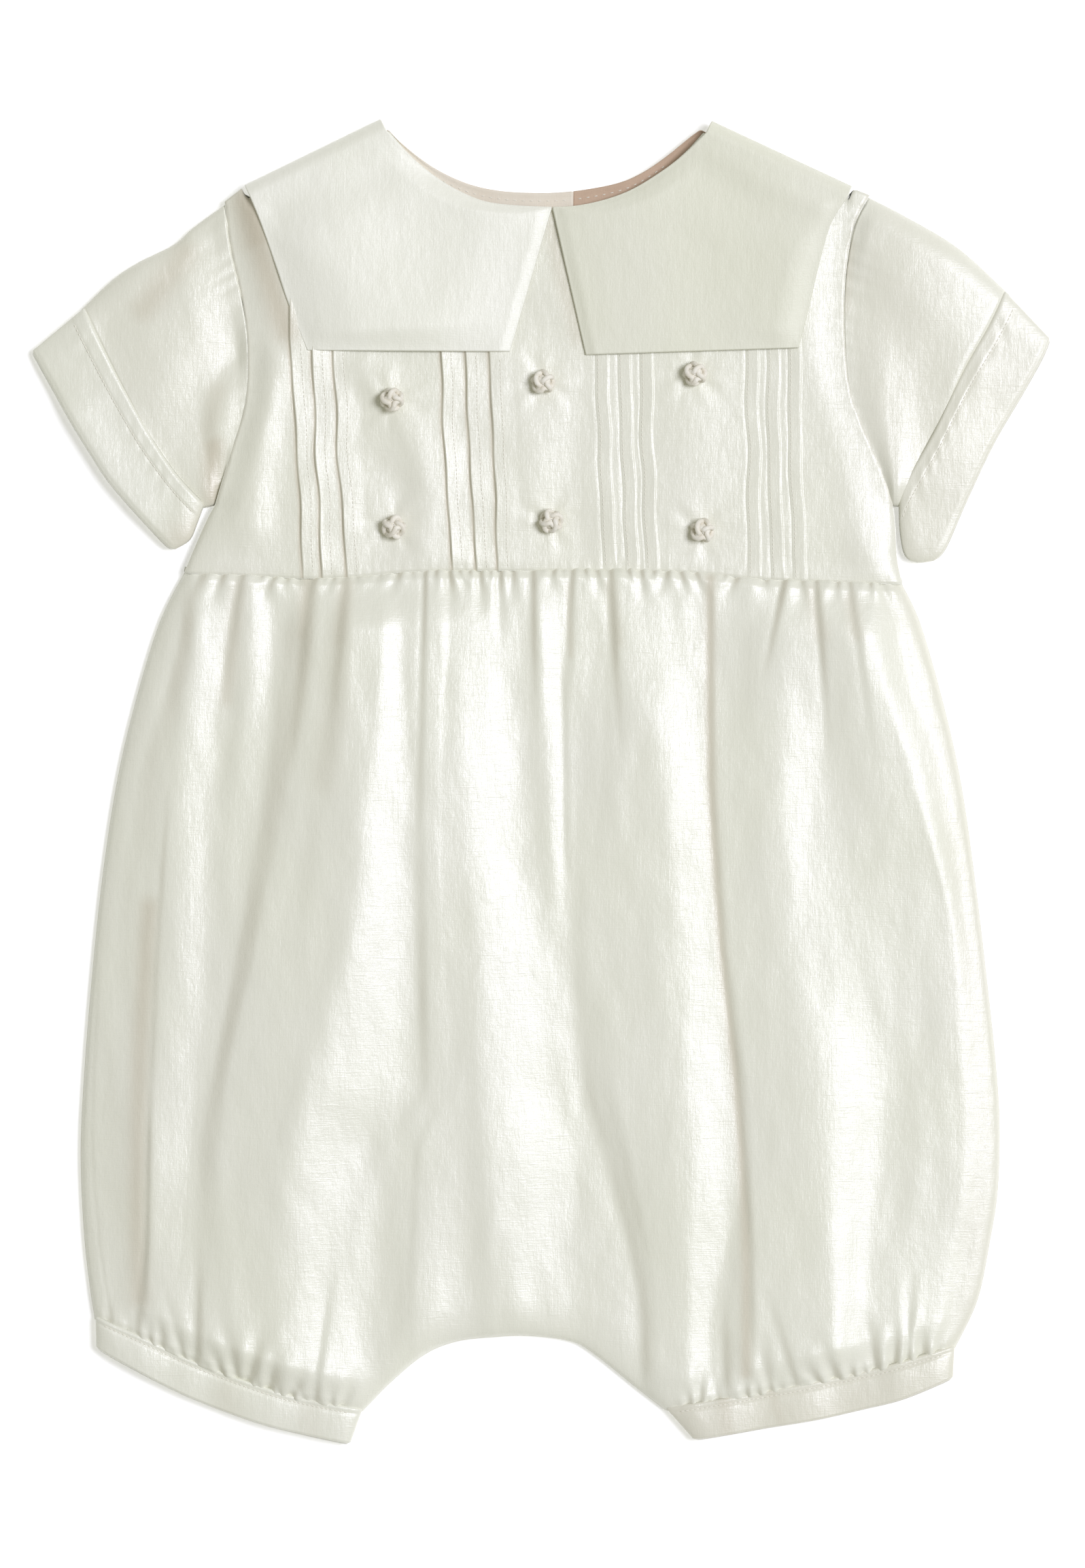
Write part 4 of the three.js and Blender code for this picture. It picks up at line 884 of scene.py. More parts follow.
def section_top(points):
    """Top of the front at plan points, from the section through the fold lines at each y"""
    levels = np.linspace(-FOLD_STATIONS[0], -FOLD_STATIONS[-1], 120)
    tables = []
    for column in (1, 2):
        values = np.array([row[column] for row in FOLD_LINES], float)
        shape = (len(levels),) + values.shape
        stations = np.broadcast_to(-np.array(FOLD_STATIONS, float), shape)
        at = np.broadcast_to(levels[:, None], shape[:2])
        tables.append(through(stations, np.broadcast_to(values, shape), at))
    place = np.clip((-points[..., 1] - levels[0]) / (levels[1] - levels[0]), 0, len(levels) - 1.001)
    k = place.astype(int)
    t = (place - k)[..., None]
    xs, zs = (lerp(table[k], table[k + 1], t) for table in tables)
    return through(xs, zs, points[..., 0])


def hollow_share(height, reach):
    """How far each grid point lies below the cloth around it, 0 to 1"""
    around = height.copy()
    for shift in range(1, reach + 1):
        around += np.roll(height, shift, 1) + np.roll(height, -shift, 1)
    around /= 2 * reach + 1
    return np.clip((around - height) / 1.6, 0, 1)


def from_waist_and_hem(x, y):
    """How far a point of the body is below the waist seam, and above its edge at the bands and the crotch"""
    return y_at_x(waist_line, x) - y, y - y_at_x(body_hem, x, samples=3000)


def puff(away, rise, run):
    """Fullness that swells out beside a gathered seam"""
    return rise * ease(away / 3) * np.exp(-away / run)


def front_body():
    overlap = 1.6  # how far it runs up under the bodice's edge, as two more rows
    vs = np.concatenate([[0, 0], thicker_at_ends(188)])
    plan = body_plan(np.linspace(0, 1, 400), vs)
    plan[:2, :, 1] += overlap * np.array([[1.0], [0.5]])
    x, y = plan[..., 0], plan[..., 1]
    below_waist, above_hem = from_waist_and_hem(x, y)
    edge = distance_to(plan, body_sides["left"], body_sides["right"], crotch_line)
    on_band = np.maximum(ease((-53 - x) / 8), ease((x - 36) / 8))

    z = lerp(WAIST_TOP, section_top(plan), ease(below_waist / 19))
    z = lerp(BAND_TOP - 0.4, z, lerp(1, ease(above_hem / 11), on_band))
    z += puff(below_waist, 1.3, 11) + on_band * puff(above_hem, 0.9, 9)
    for away, share, creases, steps in ((below_waist, 1, WAIST_CREASES, WAIST_STEPS),
                                        (above_hem, on_band, BAND_CREASES, BAND_STEPS)):
        away = np.maximum(away, 0)
        z += share * (crease_relief(x, away, creases) + step_relief(x, away, steps))
    z += sum(lap_relief(plan, lap) for lap in LAPS)
    z += 0.22 * ripple(plan * (1.6, 0.6), 17, seed=3) + 0.1 * ripple(plan * (2.2, 1), 8, seed=4)
    z -= 1.5 * (1 - ease((below_waist + overlap) / 2.4))

    low = BODY_FLOOR + SILK
    seam_inset = lerp(1.5, 5, np.clip((-60 - y) / 110, 0, 1))
    side_seam = 0.15 * bell((distance_to(plan, body_sides["left"]) - seam_inset) / 0.45)
    z = lerp(low, np.maximum(z, low), round_off(edge, BODY_ROUND)) - side_seam * ease((-55 - y) / 15)
    z = np.maximum(z, low - 0.2)
    # Painted shade: darker in the hollows of the folds, on slopes that face left, away from the light, and
    # along the body's Shades
    facing_left = np.gradient(z, axis=1) / np.maximum(np.gradient(x, axis=1), 0.05)
    tint = (0.12 * hollow_share(z, 9) + 0.32 * ease((facing_left - 0.12) / 0.4)) * ease(edge / 9)
    tint = np.maximum(tint * lerp(0.5, 1, fading(below_waist, 60)), shade(plan, BODY_SHADES))
    return shell("front_body", np.dstack([plan, z]), SILK, BODY_FLOOR, tint)


def back_body():
    plan = body_plan(np.linspace(0, 1, 170), thicker_at_ends(100))
    x, y = plan[..., 0], plan[..., 1]
    away = np.minimum(*from_waist_and_hem(x, y))
    gathers = np.sin(x * 0.72 + 1.6 * ripple(plan, 60, seed=8)) * fading(away, 22)
    lift = 0.32 * (1 + gathers) * ease(away / 3)
    lift += 0.28 * (1 + ripple(plan * (1.5, 0.5), 22, seed=9)) * ease(away / 15)
    return layer("back_body", plan, np.clip(lift - 0.25, 0, 0.9))


def flat_tube(node, plan_of, columns, along, level, cloth, shades):
    """A flattened tube. Its lower layer lies on the surface, and the top of its upper layer is level(w, s,
    points), with w the share across the tube and s the share along it."""
    across = thicker_at_ends(columns, 0.75 * (1 - 2 * TUBE_ROUND / TUBE_WIDTH))
    plan = plan_of(across, along)
    # Painted shade along the tube's Shades
    tint = shade(plan, shades)
    widths = np.linalg.norm(plan[:, -1] - plan[:, 0], axis=1)[:, None]
    lowest = 2 * cloth + SEAM_GAP
    w, s = np.meshgrid(across, along)
    from_fold = np.minimum(w, 1 - w) * widths
    top = np.maximum(lowest, lerp(lowest, level(w, s, plan), round_off(from_fold, TUBE_ROUND)))
    corner = cloth * 0.9
    under = corner * (1 - round_off(from_fold, corner))
    between = slice(1, -1)

    def rings(inset, high, low):
        shares = inset + w * (1 - 2 * inset)
        x, y = ([np.interp(at, across, row) for at, row in zip(shares, plan[..., k])] for k in (0, 1))
        upper, lower = np.dstack([x, y, high]), np.dstack([x, y, low])
        upper[:, [0, -1], 2] = lowest / 2
        return np.concatenate([upper, lower[:, between][:, ::-1]], 1)

    outer = rings(0 * widths, top, under)
    inner = rings(1.3 * cloth / widths, top - cloth, under + cloth)
    return tube(node, outer, inner, np.concatenate([tint, 0 * tint[:, between]], 1))


BAND_STITCH = 0.14  # share of the leg band's width from its seam to its topstitching


def leg_band_patch(side):
    seam, hem = shifted(leg_seams[side], 0, 0.5), smooth(LEG_BANDS[side]["hem"])
    left, right = (straight(seam(end), hem(end)) for end in (0.0, 1.0))
    return lambda us, vs: patch(seam, hem, left, right, us, vs)


def leg_band(side):
    def level(w, s, plan):
        dents = 0.35 * ripple(plan * (2.2, 0.5), 14, seed=21)
        puckers = 0.25 * ripple(plan * (1, 0.4), 5, seed=22) * (1 - s)
        stitched = 0.35 * bell((s - BAND_STITCH) / 0.05)
        return BAND_TOP + 0.3 * np.sin(np.pi * s) - stitched + (dents + puckers)

    along = np.linspace(0, 1, 26)
    node = f"leg_band_{side}"
    return flat_tube(node, leg_band_patch(side), 150, along, level, BAND_SILK, BAND_SHADES[side])


# ---- bodice ----


def shoulder_y(side, x):
    """y of one shoulder seam at x"""
    line = np.array(sorted(BODICE[side]["shoulder"]))
    return np.interp(x, line[:, 0], line[:, 1])


def upper_edge(face, x):
    """y of the bodice's upper edge at x: the shoulders, and the neck between them"""
    shoulder = np.where(x < 0, shoulder_y("left", x), shoulder_y("right", x))
    neck = y_at_x(neck_lines[face], x) - 0.6  # just short of the collar's edge
    open_neck = (x >= NECK[face][0][0]) & (x <= NECK[face][-1][0])
    return np.where(open_neck, np.minimum(shoulder, neck), shoulder)


def side_x(face, side, vs):
    """x of the bodice's side edge, armhole and side seam, on the rows vs"""
    line = bodice_sides[side](np.linspace(0, 1, 1500))
    top = upper_edge(face, line[:, 0])
    row = (top - line[:, 1]) / (top - y_at_x(waist_line, line[:, 0]))
    row = np.maximum.accumulate(row)
    return np.interp(vs, row, line[:, 0])


def bodice_plan(face, us, vs, from_x=None, to_x=None):
    """Plan points of the bodice, [v][u], or of the part of it that starts or ends at a given x"""
    left = side_x(face, "left", vs) if from_x is None else np.full(len(vs), from_x)
    right = side_x(face, "right", vs) if to_x is None else np.full(len(vs), to_x)
    x = lerp(left[:, None], right[:, None], us[None])
    y = lerp(upper_edge(face, x), y_at_x(waist_line, x), vs[:, None])
    return np.dstack([x, y])


def tuck_x(tuck, v):
    """x of a tuck's folded edge at v, the share of the way down the bodice"""
    down = np.clip((v - 0.4) / 0.6, 0, 1)
    drift = 0.3 * np.sin(9.5 * np.pi * v + tuck.collar) + 0.2 * np.sin(23 * v + 1.7 * tuck.collar)
    pressed_line = np.interp(down, [0, 0.5, 1], [tuck.collar, tuck.middle, tuck.waist])
    return pressed_line + drift * np.sin(np.pi * down)


def tuck_form(x, v):
    """Height and painted shade of the tucks. Each is highest just inside its folded edge and drops past it,
    and the painted shade lies along the foot of the edges that are pressed to the left."""
    height, painted_shade_share = np.zeros_like(x), np.zeros_like(x)
    for tuck in TUCKS:
        flap = FLAPS[tuck.pressed]
        into = (tuck_x(tuck, v) - x) * tuck.pressed
        back = 1 - np.clip((into - flap.lip) / (flap.width - flap.lip), 0, 1)
        rise = flap.rise * (0.85 + 0.25 * np.sin(26 * v + 2.3 * tuck.collar))
        height += rise * back * ease((into + flap.lip) / (2 * flap.lip))
        if tuck.pressed > 0:
            height -= 0.14 * bell((into - 4.25) / 0.25)  # the groove beside its stitches
        else:
            painted_shade_share = np.maximum(painted_shade_share, 0.62 * bell((into + 0.35) / 0.6))
    return height * ease(v / 0.14) * lerp(0.45, 1, ease((1 - v) / 0.05)), painted_shade_share * ease(v / 0.14)


def bodice_top(points):
    """Top of the front bodice without its tucks"""
    to_waist = points[..., 1] - y_at_x(waist_line, points[..., 0])
    z = lerp(WAIST_TOP, BODICE_TOP, ease(to_waist / 30)) + swells(points, BODICE_SWELLS)
    z = z + 0.2 * ripple(points, 16, seed=31) + 0.06 * ripple(points, 6, seed=32)
    # how much lower the armhole seam lies near the shoulder, and how far in from it the cloth is drawn down
    for side, drop, run in (("left", 0.7, 9), ("right", 0, 20)):
        top = ARMHOLE_TOP - drop * ease((points[..., 1] - 135) / 30)
        z = lerp(top, z, ease((distance_to(points, armholes[side]) + 0.5) / run))
        z = lerp(FRONT_FLOOR + SILK, z, round_off(distance_to(points, side_seams[side]), BODICE_ROUND))
    from_shoulder = upper_edge("front", points[..., 0]) - points[..., 1]
    return lerp(FRONT_FLOOR + SILK, z, round_off(from_shoulder + 1, 6))


def button_pull(points):
    """The dent and the short rays that each button's stitches pull into the cloth"""
    total = np.zeros(points.shape[:-1])
    for k, button in enumerate(BUTTONS):
        away = points - (button.x, button.y)
        reach = np.linalg.norm(away, axis=-1)
        angle = np.arctan2(away[..., 1], away[..., 0])
        rays = np.sin(5 * angle + k) + 0.6 * np.sin(8 * angle + 2 * k)
        total += 0.11 * rays * bell((reach - 7) / 4.5) - 0.35 * bell(reach / 5.5)
    return total


def tucked_columns(v_rows):
    """x of the front bodice's columns on each row: fine steps round a tuck's edge and even ones between"""
    profile = [-1.5, -0.8, -0.5, -0.3, -0.15, 0, 0.15, 0.3, 0.5, 1, 1.8, 2.8, 3.8, 4.05, 4.2, 4.35, 4.7]
    left, right = side_x("front", "left", v_rows), side_x("front", "right", v_rows)
    blocks, last = [left[:, None]], left
    for tuck in TUCKS:
        at = np.sort(tuck_x(tuck, v_rows)[:, None] - tuck.pressed * np.array(profile), axis=1)
        plain = max(int(np.median(at[:, 0] - last)), 0)
        blocks.append(lerp(last[:, None], at[:, :1], np.linspace(0, 1, plain + 2)[1:-1]))
        blocks.append(at)
        last = at[:, -1]
    count = max(int(np.median(right - last)), 2)
    blocks.append(lerp(last[:, None], right[:, None], np.linspace(0, 1, count + 1)[1:]))
    return np.maximum.accumulate(np.concatenate(blocks, 1), axis=1)


def front_bodice():
    vs = np.linspace(0, 1, 150)
    x = tucked_columns(vs)
    v = np.broadcast_to(vs[:, None], x.shape)
    plan = np.dstack([x, lerp(upper_edge("front", x), y_at_x(waist_line, x) - 0.1, v)])
    y = plan[..., 1]
    to_waist = y - y_at_x(waist_line, x)
    tucks, tint = tuck_form(x, v)
    seam_allowance = 0.22 * bell((to_waist - 2.2) / 2.2)
    z = bodice_top(plan) + tucks + button_pull(plan) + seam_allowance
    z += 0.12 * waves(x, 1.9, 2.0, 0.23) * fading(to_waist, 2.0)
    armhole = distance_to(plan, armholes["left"], armholes["right"])
    z += 0.1 * waves(y, 1.1, 1.7, 0.31) * fading(armhole, 3.0)
    z = np.maximum(z, FRONT_FLOOR + 0.6)
    # Painted shade under the collars' edges and along the armhole seams, and an even 0.05 mix of the shade
    # colour over all of the bodice
    for painted_shade_share in (shade(plan, BODICE_SHADES), 0.25 * bell(armhole / 0.8), 0.05):
        tint = np.maximum(tint, painted_shade_share)
    return shell("front_bodice", np.dstack([plan, z]), SILK, FRONT_FLOOR, tint)


def opening_x(side):
    """x of one side's edge at the back opening"""
    return BACK_OPENING + (-0.5 if side == "left" else 0.5) * SEAM_GAP


def back_bodice(side):
    ends = {"to_x": opening_x(side)} if side == "left" else {"from_x": opening_x(side)}
    plan = bodice_plan("back", np.linspace(0, 1, 70), np.linspace(0, 1, 90), **ends)
    x, y = plan[..., 0], plan[..., 1]
    lifted_from = 124  # past this y it rises, to lie on the back of the collar
    soft = 0.25 * (1 + ripple(plan, 18, seed=41)) * ease((lifted_from - y) / 10)
    soft = soft * ease((y - y_at_x(waist_line, x)) / 8)
    under = BACK_LIFT * ease((y - lifted_from) / 9) + np.clip(soft - 0.2, 0, 0.6)
    return layer(f"back_bodice_{side}", plan, under)


def neck_facing(side):
    from_x, to_x = sorted((FACING[side], opening_x(side)))
    x = np.broadcast_to(np.linspace(from_x, to_x, 90)[None], (24, 90))
    v = np.linspace(0, 1, 24)[:, None]
    width = lerp(FACING["endWidth"], FACING["width"], ease(np.abs(x - FACING[side]) / FACING["taper"]))
    plan = np.dstack([x, upper_edge("back", x) - v * width + 0.3])
    off_bodice = {"left": 0.85, "right": 0.5}[side]
    under = BACK_LIFT + SILK + off_bodice + 0.12 * ripple(plan, 9, seed=51)
    cloth = FACING_SILK + 0.4 * bell(v / 0.08)
    return layer(f"neck_facing_{side}", plan, under, cloth, material=FACING_CLOTHS[side], slot="facing_cloth")


# ---- sleeves ----


def sleeve_patch(side):
    outward = -1 if side == "left" else 1
    table = SLEEVES[side]
    armhole = shifted(armholes[side], -outward * 0.8, 0)  # runs in under the bodice's edge
    cuff_line = shifted(smooth(table["cuffLine"]), outward * 1.2, -0.9)
    fold = fitted(smooth(table["fold"]), armhole(0.0), cuff_line(0.0))
    under = straight(armhole(1.0), cuff_line(1.0))
    return lambda us, vs: patch(armhole, cuff_line, fold, under, us, vs)


def sleeve(side):
    reach, armhole_length = 40, 96  # from the armhole to the cuff and along the armhole, about

    def level(w, s, plan):
        z = lerp(ARMHOLE_TOP - 0.1, SLEEVE_TOP["middle"], ease(s / 0.4))
        z = lerp(z, SLEEVE_TOP["cuff"], ease((s - 0.5) / 0.5))
        z = z + ease(s / 0.12) * ease((1.02 - s) / 0.1) * swells(plan, SLEEVE_SWELLS[side])
        gathers = 0.3 * waves(w * armhole_length, 1.15, 1.4, 0.29) * np.exp(-s * reach / 3.5)
        z = z + gathers * (0.4 + 0.6 * bell((w - 0.28) / 0.12))
        under_bodice = 0.75 * (1 - ease((s * reach - 0.75) / 0.4))
        under_cuff = 0.35 * (1 - ease(((1 - s) * reach - 1.3) / 0.5))
        z = z - under_bodice - under_cuff
        return z + 0.25 * ripple(plan, 17, seed=61) + 0.08 * ripple(plan, 7, seed=62)

    at_armhole = [0, 0.01, 0.018, 0.0215, 0.025, 0.0285, 0.034, 0.045]
    at_cuff = [0.942, 0.95, 0.956, 0.962, 0.968, 0.98, 1]
    along = np.concatenate([at_armhole, np.linspace(0.06, 0.93, 76), at_cuff])
    return flat_tube(f"sleeve_{side}", sleeve_patch(side), 140, along, level, SILK, SLEEVE_SHADES[side])


CUFF_STITCH = 0.24  # share of the cuff's width from its upper edge to its topstitching


def cuff_patch(side):
    table = SLEEVES[side]
    cuff_line, hem = smooth(table["cuffLine"]), smooth(table["hem"])
    under = fitted(smooth(table["underCuff"]), cuff_line(1.0), hem(1.0))
    return lambda us, vs: patch(cuff_line, hem, straight(cuff_line(0.0), hem(0.0)), under, us, vs)


def sleeve_cuff(side):
    def level(w, s, plan):
        rounded_edge = 0.3 * (1 - np.clip(s / 0.05, 0, 1)) ** 2
        z = lerp(CUFF_TOP - 0.55, CUFF_TOP - 1.2, s) - rounded_edge
        z = z + ease(s / 0.3) * swells(plan, CUFF_SWELLS[side])
        past_stitches = s - CUFF_STITCH
        z = z - 0.22 * ease(past_stitches / 0.03) - 0.25 * bell(past_stitches / 0.02)
        pulls = 0.1 * waves(w, 62, 3, 9) * bell(past_stitches / 0.12)
        return z + 0.35 * ripple(plan, 17, seed=71) + pulls - 0.4 * ease((s - 0.92) / 0.08)

    along = np.concatenate([[0, 0.02, 0.04, 0.06], np.linspace(0.08, 1, 44)])
    node = f"sleeve_cuff_{side}"
    return flat_tube(node, cuff_patch(side), 140, along, level, BAND_SILK, CUFF_SHADES[side])


# ---- collar ----


def collar(side):
    """One leaf over the front bodice, a turn over the shoulder, and another leaf under the back bodice"""
    inwards = 1 if side == "left" else -1
    corners = COLLARS[side]
    neck, shoulder, inner_hem = (np.array(corners[key], float) for key in ("neck", "shoulder", "innerHem"))
    outer_hem = np.array(corners["outerEdge"][0], float)
    along = (neck - shoulder) / np.linalg.norm(neck - shoulder)
    outward = np.array([-along[1], along[0]]) * inwards
    turn_ends = [p - outward * COLLAR_TURN for p in (shoulder, neck)]
    outer_edge = fitted(smooth(corners["outerEdge"]), outer_hem, turn_ends[0])

    def leaf(face, us, vs):
        line = neck_lines[face]
        parting = COLLAR_PARTING[face] - inwards * SEAM_GAP / 2
        start, end = share_at_x(line, parting), share_at_x(line, turn_ends[1][0] + inwards * 0.6)
        miss = turn_ends[1] - line(end)
        neck_edge = lambda t: line(lerp(start, end, t)) + miss * np.asarray(t, float)[..., None] ** 3
        hem_end = inner_hem if face == "front" else np.array([parting, inner_hem[1]])
        inner_edge = chain((straight(hem_end, line(start)), 0.5), (neck_edge, 0.5))
        return patch(straight(outer_hem, hem_end), straight(*turn_ends), outer_edge, inner_edge, us, vs)

    us = np.concatenate([[0, 0.004, 0.012], np.linspace(0.03, 0.97, 78), [0.988, 0.996, 1]])
    vs = np.concatenate([[0, 0.004, 0.012], np.linspace(0.03, 0.985, 84)])
    front = leaf("front", us, vs)
    u, v = np.meshgrid(us, vs)
    on_neck = (1 - ease((1 - u) / 0.14)) * ease((v - 0.4) / 0.1) * (1 - ease((v - 0.8) / 0.2))
    z = lerp(COLLAR_TOP["hem"], COLLAR_TOP["shoulder"], ease((v - 0.2) / 0.8))
    z = lerp(z, COLLAR_TOP["neck"], on_neck)
    free = ease(v / 0.12) * ease((1 - v) / 0.15) * ease(u / 0.12) * ease((1 - u) / 0.15)
    z = z + lerp(0.25, 1, free) * ease((1 - v) / 0.1) * swells(front, COLLAR_SWELLS[side])
    z = z + 0.3 * ripple(front, 26, seed=81) * free + 0.08 * ripple(front, 9, seed=82)
    pressed_edges = (1 - ease(u / 0.07)) * 0.4 + (1 - ease((1 - u) / 0.05)) * 0.7
    z = z - pressed_edges * (1 - ease((v - 0.7) / 0.3)) - 0.1 * (1 - ease(v / 0.04))
    front_top = np.dstack([front, z])

    axis = np.column_stack([leaf("front", us, [1.0])[0], np.full(len(us), COLLAR_TURN)])
    angles = np.pi * (0.5 - np.linspace(0, 1, 22))
    turned = np.array([[*(outward * math.cos(a)), math.sin(a)] for a in angles])
    turn = axis[None] + turned[:, None] * COLLAR_TURN
    back = leaf("back", us, np.linspace(0.97, 0, 40))
    back = np.dstack([back, np.zeros(back.shape[:2])])

    outer = np.concatenate([front_top, turn, back])
    ways = [[0, 0, 1.0]] * len(vs) + list(turned) + [[0, 0, -1.0]] * len(back)
    inner = outer - COLLAR_CLOTH * np.array(ways)[:, None]
    return slab(f"collar_{side}", outer, inner, material=COLLAR_SILKS[side], slot="collar_cloth")


# ---- knotted buttons ----


def swept(line, radius, around):
    """Points and quads of a round cord along a closed line that winds round the origin"""
    ahead = unit(np.roll(line, -1, 0) - np.roll(line, 1, 0))
    across = unit(np.cross(ahead, unit(line)))
    up = np.cross(across, ahead)
    angles = np.linspace(0, 2 * np.pi, around, endpoint=False)[None, :, None]
    ring = radius * (across[:, None] * np.cos(angles) + up[:, None] * np.sin(angles))
    points = (line[:, None] + ring).reshape(-1, 3)
    return points, grid_quads(len(line) + 1, around, ring=True) % len(points)


def on_sphere(polar, turn):
    return np.stack([np.sin(polar) * np.cos(turn), np.sin(polar) * np.sin(turn), np.cos(polar)], -1)


def knot_button(button):
    """A ball knot: one cord that goes over and under itself round a small core"""
    leads, bights, size, cord, core_size, squash, rise = 3, 4, 3.0, 0.8, 2.45, 0.8, 2.7
    t = np.linspace(0, 2 * np.pi * leads, 300, endpoint=False)
    over = 1 + 0.13 * np.sin(2 * bights * t / leads + 0.4)
    line = on_sphere(np.pi / 2 + 1.12 * np.sin(bights * t / leads), t + math.radians(button.turn))
    knot = swept(line * (size * over)[:, None], cord, 10)
    theta, phi = np.linspace(0.05, np.pi - 0.05, 14), np.linspace(0, 2 * np.pi, 20, endpoint=False)
    core = core_size * on_sphere(*np.meshgrid(theta, phi, indexing="ij"))
    points, quads = joined_parts([knot, (core.reshape(-1, 3), grid_quads(14, 20, ring=True))])
    tilt = RNG.uniform(-0.5, 0.5)
    c, s = math.cos(tilt), math.sin(tilt)
    points = points @ np.array([[1, 0, 0], [0, c, s], [0, -s, c]])
    points[:, 2] *= squash
    base = float(bodice_top(np.array([[button.x, button.y]]))[0])
    points += (button.x, button.y, base + rise)
    piece = mesh_piece(f"{button.node}_knot", points, quads, material=CORD, slot="knot_cord")
    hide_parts(button.node)


# ---- sewing ----


def top_of(piece, points):
    """Height of a piece at plan points, in millimetres, or -1 where it isn't below them"""
    shown = piece.evaluated_get(bpy.context.evaluated_depsgraph_get())
    heights = []
    for x, y in points:
        hit, place, _, _ = shown.ray_cast(Vector((x * MM, y * MM, 0.05)), Vector((0, 0, -1)))
        heights.append(place.z / MM if hit else -1.0)
    return heights


def stitch_row(line, on, pitch=1.5, length=1.1, radius=0.16):
    """Short stitches lying along a line of plan points on a piece of cloth"""
    along = np.concatenate([[0], np.cumsum(np.linalg.norm(np.diff(line, axis=0), axis=1))])
    starts = np.arange(0.3, along[-1] - length, pitch)
    at = lambda s: np.stack([np.interp(s, along, line[:, i]) for i in (0, 1)], -1)
    a, b = at(starts), at(starts + length)
    profile = [(-0.5, 0.35), (-0.3, 0.95), (0.0, 1.1), (0.3, 0.95), (0.5, 0.35)]
    angles = np.linspace(0, 2 * np.pi, 6, endpoint=False)
    parts = []
    for middle, ahead, z in zip((a + b) / 2, unit(b - a), top_of(on, (a + b) / 2)):
        if z < 0:
            continue
        across = np.array([-ahead[1], ahead[0]])
        rings = []
        for share, size in profile:
            centre = middle + ahead * share * length
            flat = centre + across * (np.cos(angles) * radius * size)[:, None]
            rings.append(np.column_stack([flat, z + 0.05 + np.sin(angles) * radius * size]))
        parts.append((np.concatenate(rings), grid_quads(len(profile), 6, ring=True)))
    return parts


def stitching(pieces):
    """Topstitching of the tucks, the cuffs, the bands and the facing"""
    parts = []
    from_fold = 3.3  # from a tuck's folded edge to its row of stitches
    vs = np.linspace(0.42, 0.995, 40)
    for tuck in TUCKS:
        x = tuck_x(tuck, vs) - tuck.pressed * from_fold
        y = lerp(upper_edge("front", x), y_at_x(waist_line, x), vs)
        parts += stitch_row(np.column_stack([x, y]), pieces["front_bodice"], 1.35, 0.95, 0.12)
    for side in SIDES:
        cuff = cuff_patch(side)(np.linspace(0.03, 0.97, 60), [CUFF_STITCH])[0]
        parts += stitch_row(cuff, pieces[f"sleeve_cuff_{side}"])
        band = leg_band_patch(side)(np.linspace(0, 1, 60), [BAND_STITCH])[0]
        parts += stitch_row(band[2:-2], pieces[f"leg_band_{side}"])
    for side, x in (("left", np.linspace(-38, 9, 80)), ("right", np.linspace(11.5, 41, 60))):
        for inset in (2.0, 4.6):
            line = np.column_stack([x, upper_edge("back", x) - inset])
            parts += stitch_row(line, pieces[f"neck_facing_{side}"], 2.6, 1.0, 0.15)
    mesh_piece("topstitching", *joined_parts(parts), material=THREAD)


# ---- stage ----


def placed(name, data):
    """A new object in the scene"""
    thing = bpy.data.objects.new(name, data)
    bpy.context.scene.collection.objects.link(thing)
    return thing


def add_camera():
    """A camera straight above. The longer side of its frame takes in frame_long metres of the romper."""
    height, frame_long, sensor, level = 2.5, 0.4981, 36.0, 0.004
    data = bpy.data.cameras.new("camera")
    data.sensor_width = sensor
    data.lens = sensor * (height - level) / frame_long
    camera = placed("camera", data)
    camera.location = (0.00043, -0.00097, height)
    bpy.context.scene.camera = camera
    bpy.context.scene.view_settings.view_transform = "Standard"


def add_lights():
    data = bpy.data.lights.new("key", "AREA")
    data.shape, data.size, data.energy, data.color = "SQUARE", 1.9, 146, (0.968, 0.972, 1.088)
    light = placed("key", data)
    light.location = (2.2, 0.55, 4.0)
    light.rotation_mode = "QUATERNION"
    light.rotation_quaternion = (-light.location).to_track_quat("-Z", "Y")
    world = bpy.data.worlds.new("studio")
    world.use_nodes = True
    background = world.node_tree.nodes["Background"]
    background.inputs["Color"].default_value = (1.0, 0.99, 0.86, 1)
    background.inputs["Strength"].default_value = 0.35
    bpy.context.scene.world = world


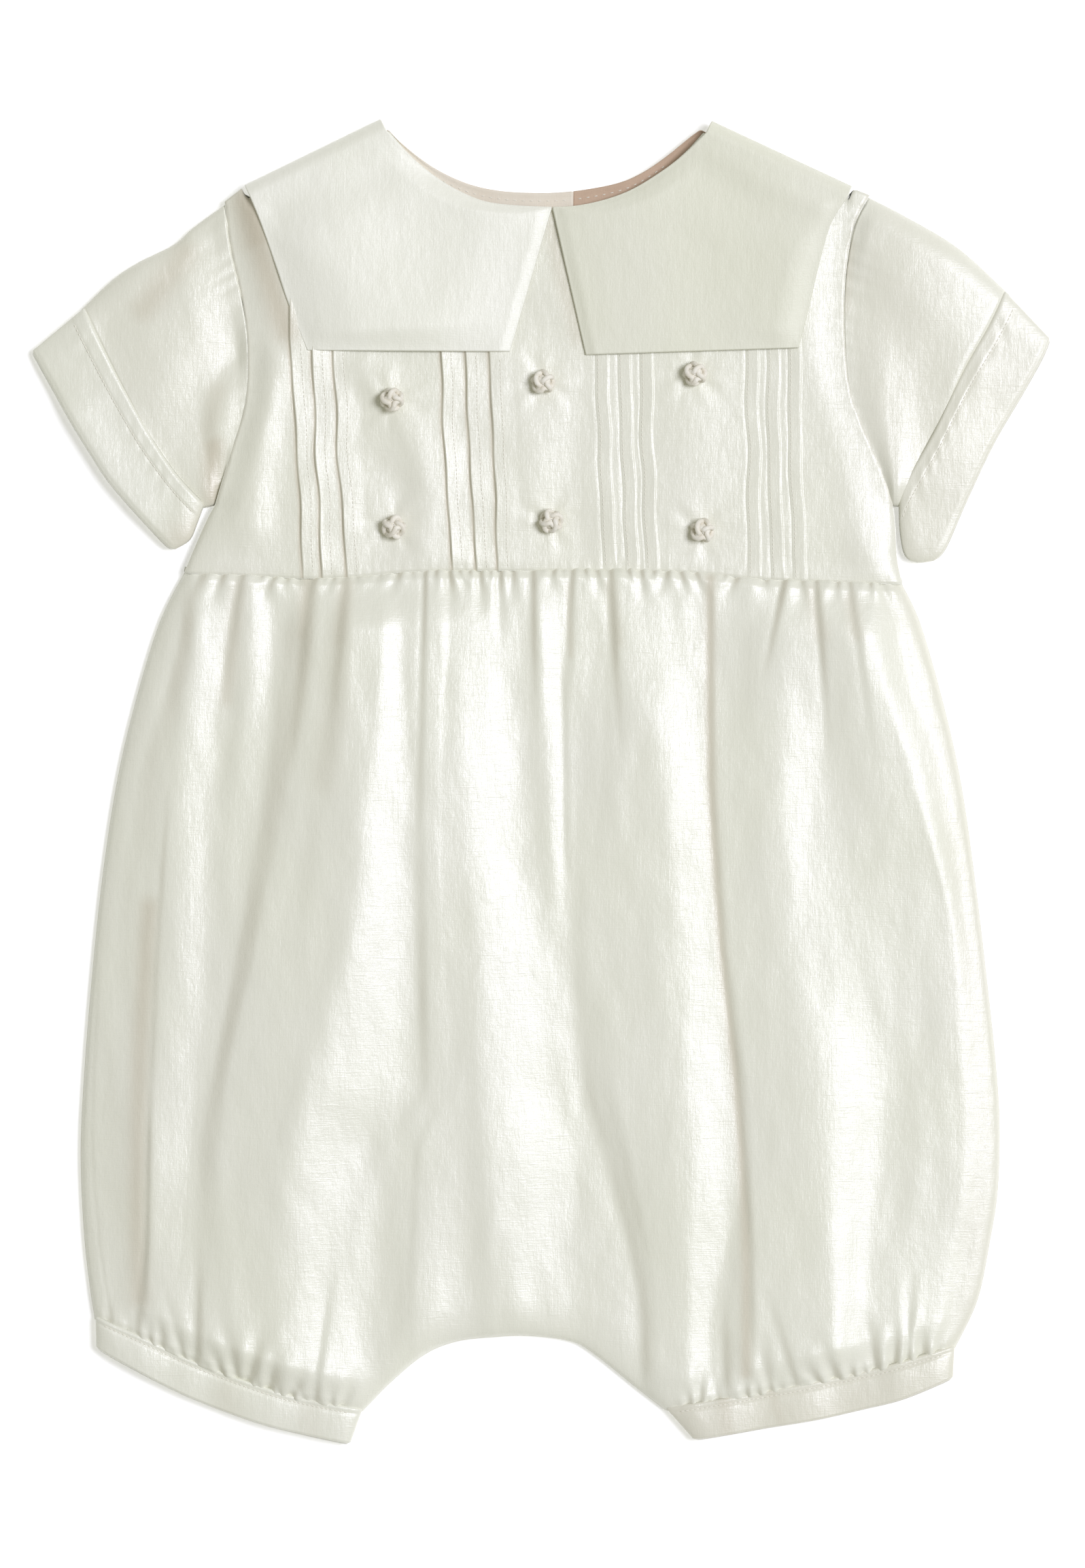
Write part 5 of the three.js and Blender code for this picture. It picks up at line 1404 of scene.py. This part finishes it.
def add_floor():
    size, drop = 3.0, 0.0002
    mesh = bpy.data.meshes.new("floor")
    corners = [(-size, -size, -drop), (size, -size, -drop), (size, size, -drop), (-size, size, -drop)]
    mesh.from_pydata(corners, [], [(0, 1, 2, 3)])
    nodes = Nodes("pale_floor")
    nodes.surface((0.93, 0.93, 0.93, 1), 0.9)
    nodes.set(nodes.shader, "Emission Color", (1, 1, 1, 1))
    nodes.set(nodes.shader, "Emission Strength", 0.35)
    mesh.materials.append(nodes.material)
    placed("floor", mesh)


# ---- the romper ----


def declare_sheets():
    """The cut of each cloth piece as far as it shows, in metres, and the nodes that it lies on"""
    cuts = {
        "front_body": (0.345, 0.278, 0.084, ["back_body", "leg_band_left", "leg_band_right"]),
        "back_body": (0.345, 0.278, 0.084, []),
        "front_bodice": (0.223, 0.143, 0.0272, ["back_bodice_left", "back_bodice_right", "front_body"]),
        "back_bodice_left": (0.122, 0.141, 0.0137, ["collar_left"]),
        "back_bodice_right": (0.104, 0.141, 0.0118, ["collar_right"]),
        "neck_facing_left": (0.062, 0.030, 0.00062, ["back_bodice_left"]),
        "neck_facing_right": (0.046, 0.030, 0.00046, ["back_bodice_right"]),
        "collar_left": (0.085, 0.142, 0.0095, ["front_bodice"]),
        "collar_right": (0.085, 0.142, 0.0095, ["front_bodice"]),
        "leg_band_left": (0.182, 0.0105, None, []),
        "leg_band_right": (0.180, 0.0105, None, []),
    }
    for side in SIDES:
        cuts[f"sleeve_{side}"] = (0.200, 0.047, 0.0078, [])
        cuts[f"sleeve_cuff_{side}"] = (0.150, 0.0215, None, [])
    for node, (width, length, area, rests_on) in cuts.items():
        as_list(rests_on)


add_camera()
add_lights()
add_floor()
pieces = {"front_body": front_body(), "back_body": back_body(), "front_bodice": front_bodice()}
for side in SIDES:
    pieces[f"back_bodice_{side}"] = back_bodice(side)
    pieces[f"neck_facing_{side}"] = neck_facing(side)
    pieces[f"sleeve_{side}"] = sleeve(side)
    pieces[f"sleeve_cuff_{side}"] = sleeve_cuff(side)
    pieces[f"leg_band_{side}"] = leg_band(side)
    pieces[f"collar_{side}"] = collar(side)
for button in BUTTONS:
    knot_button(button)
stitching(pieces)
declare_sheets()
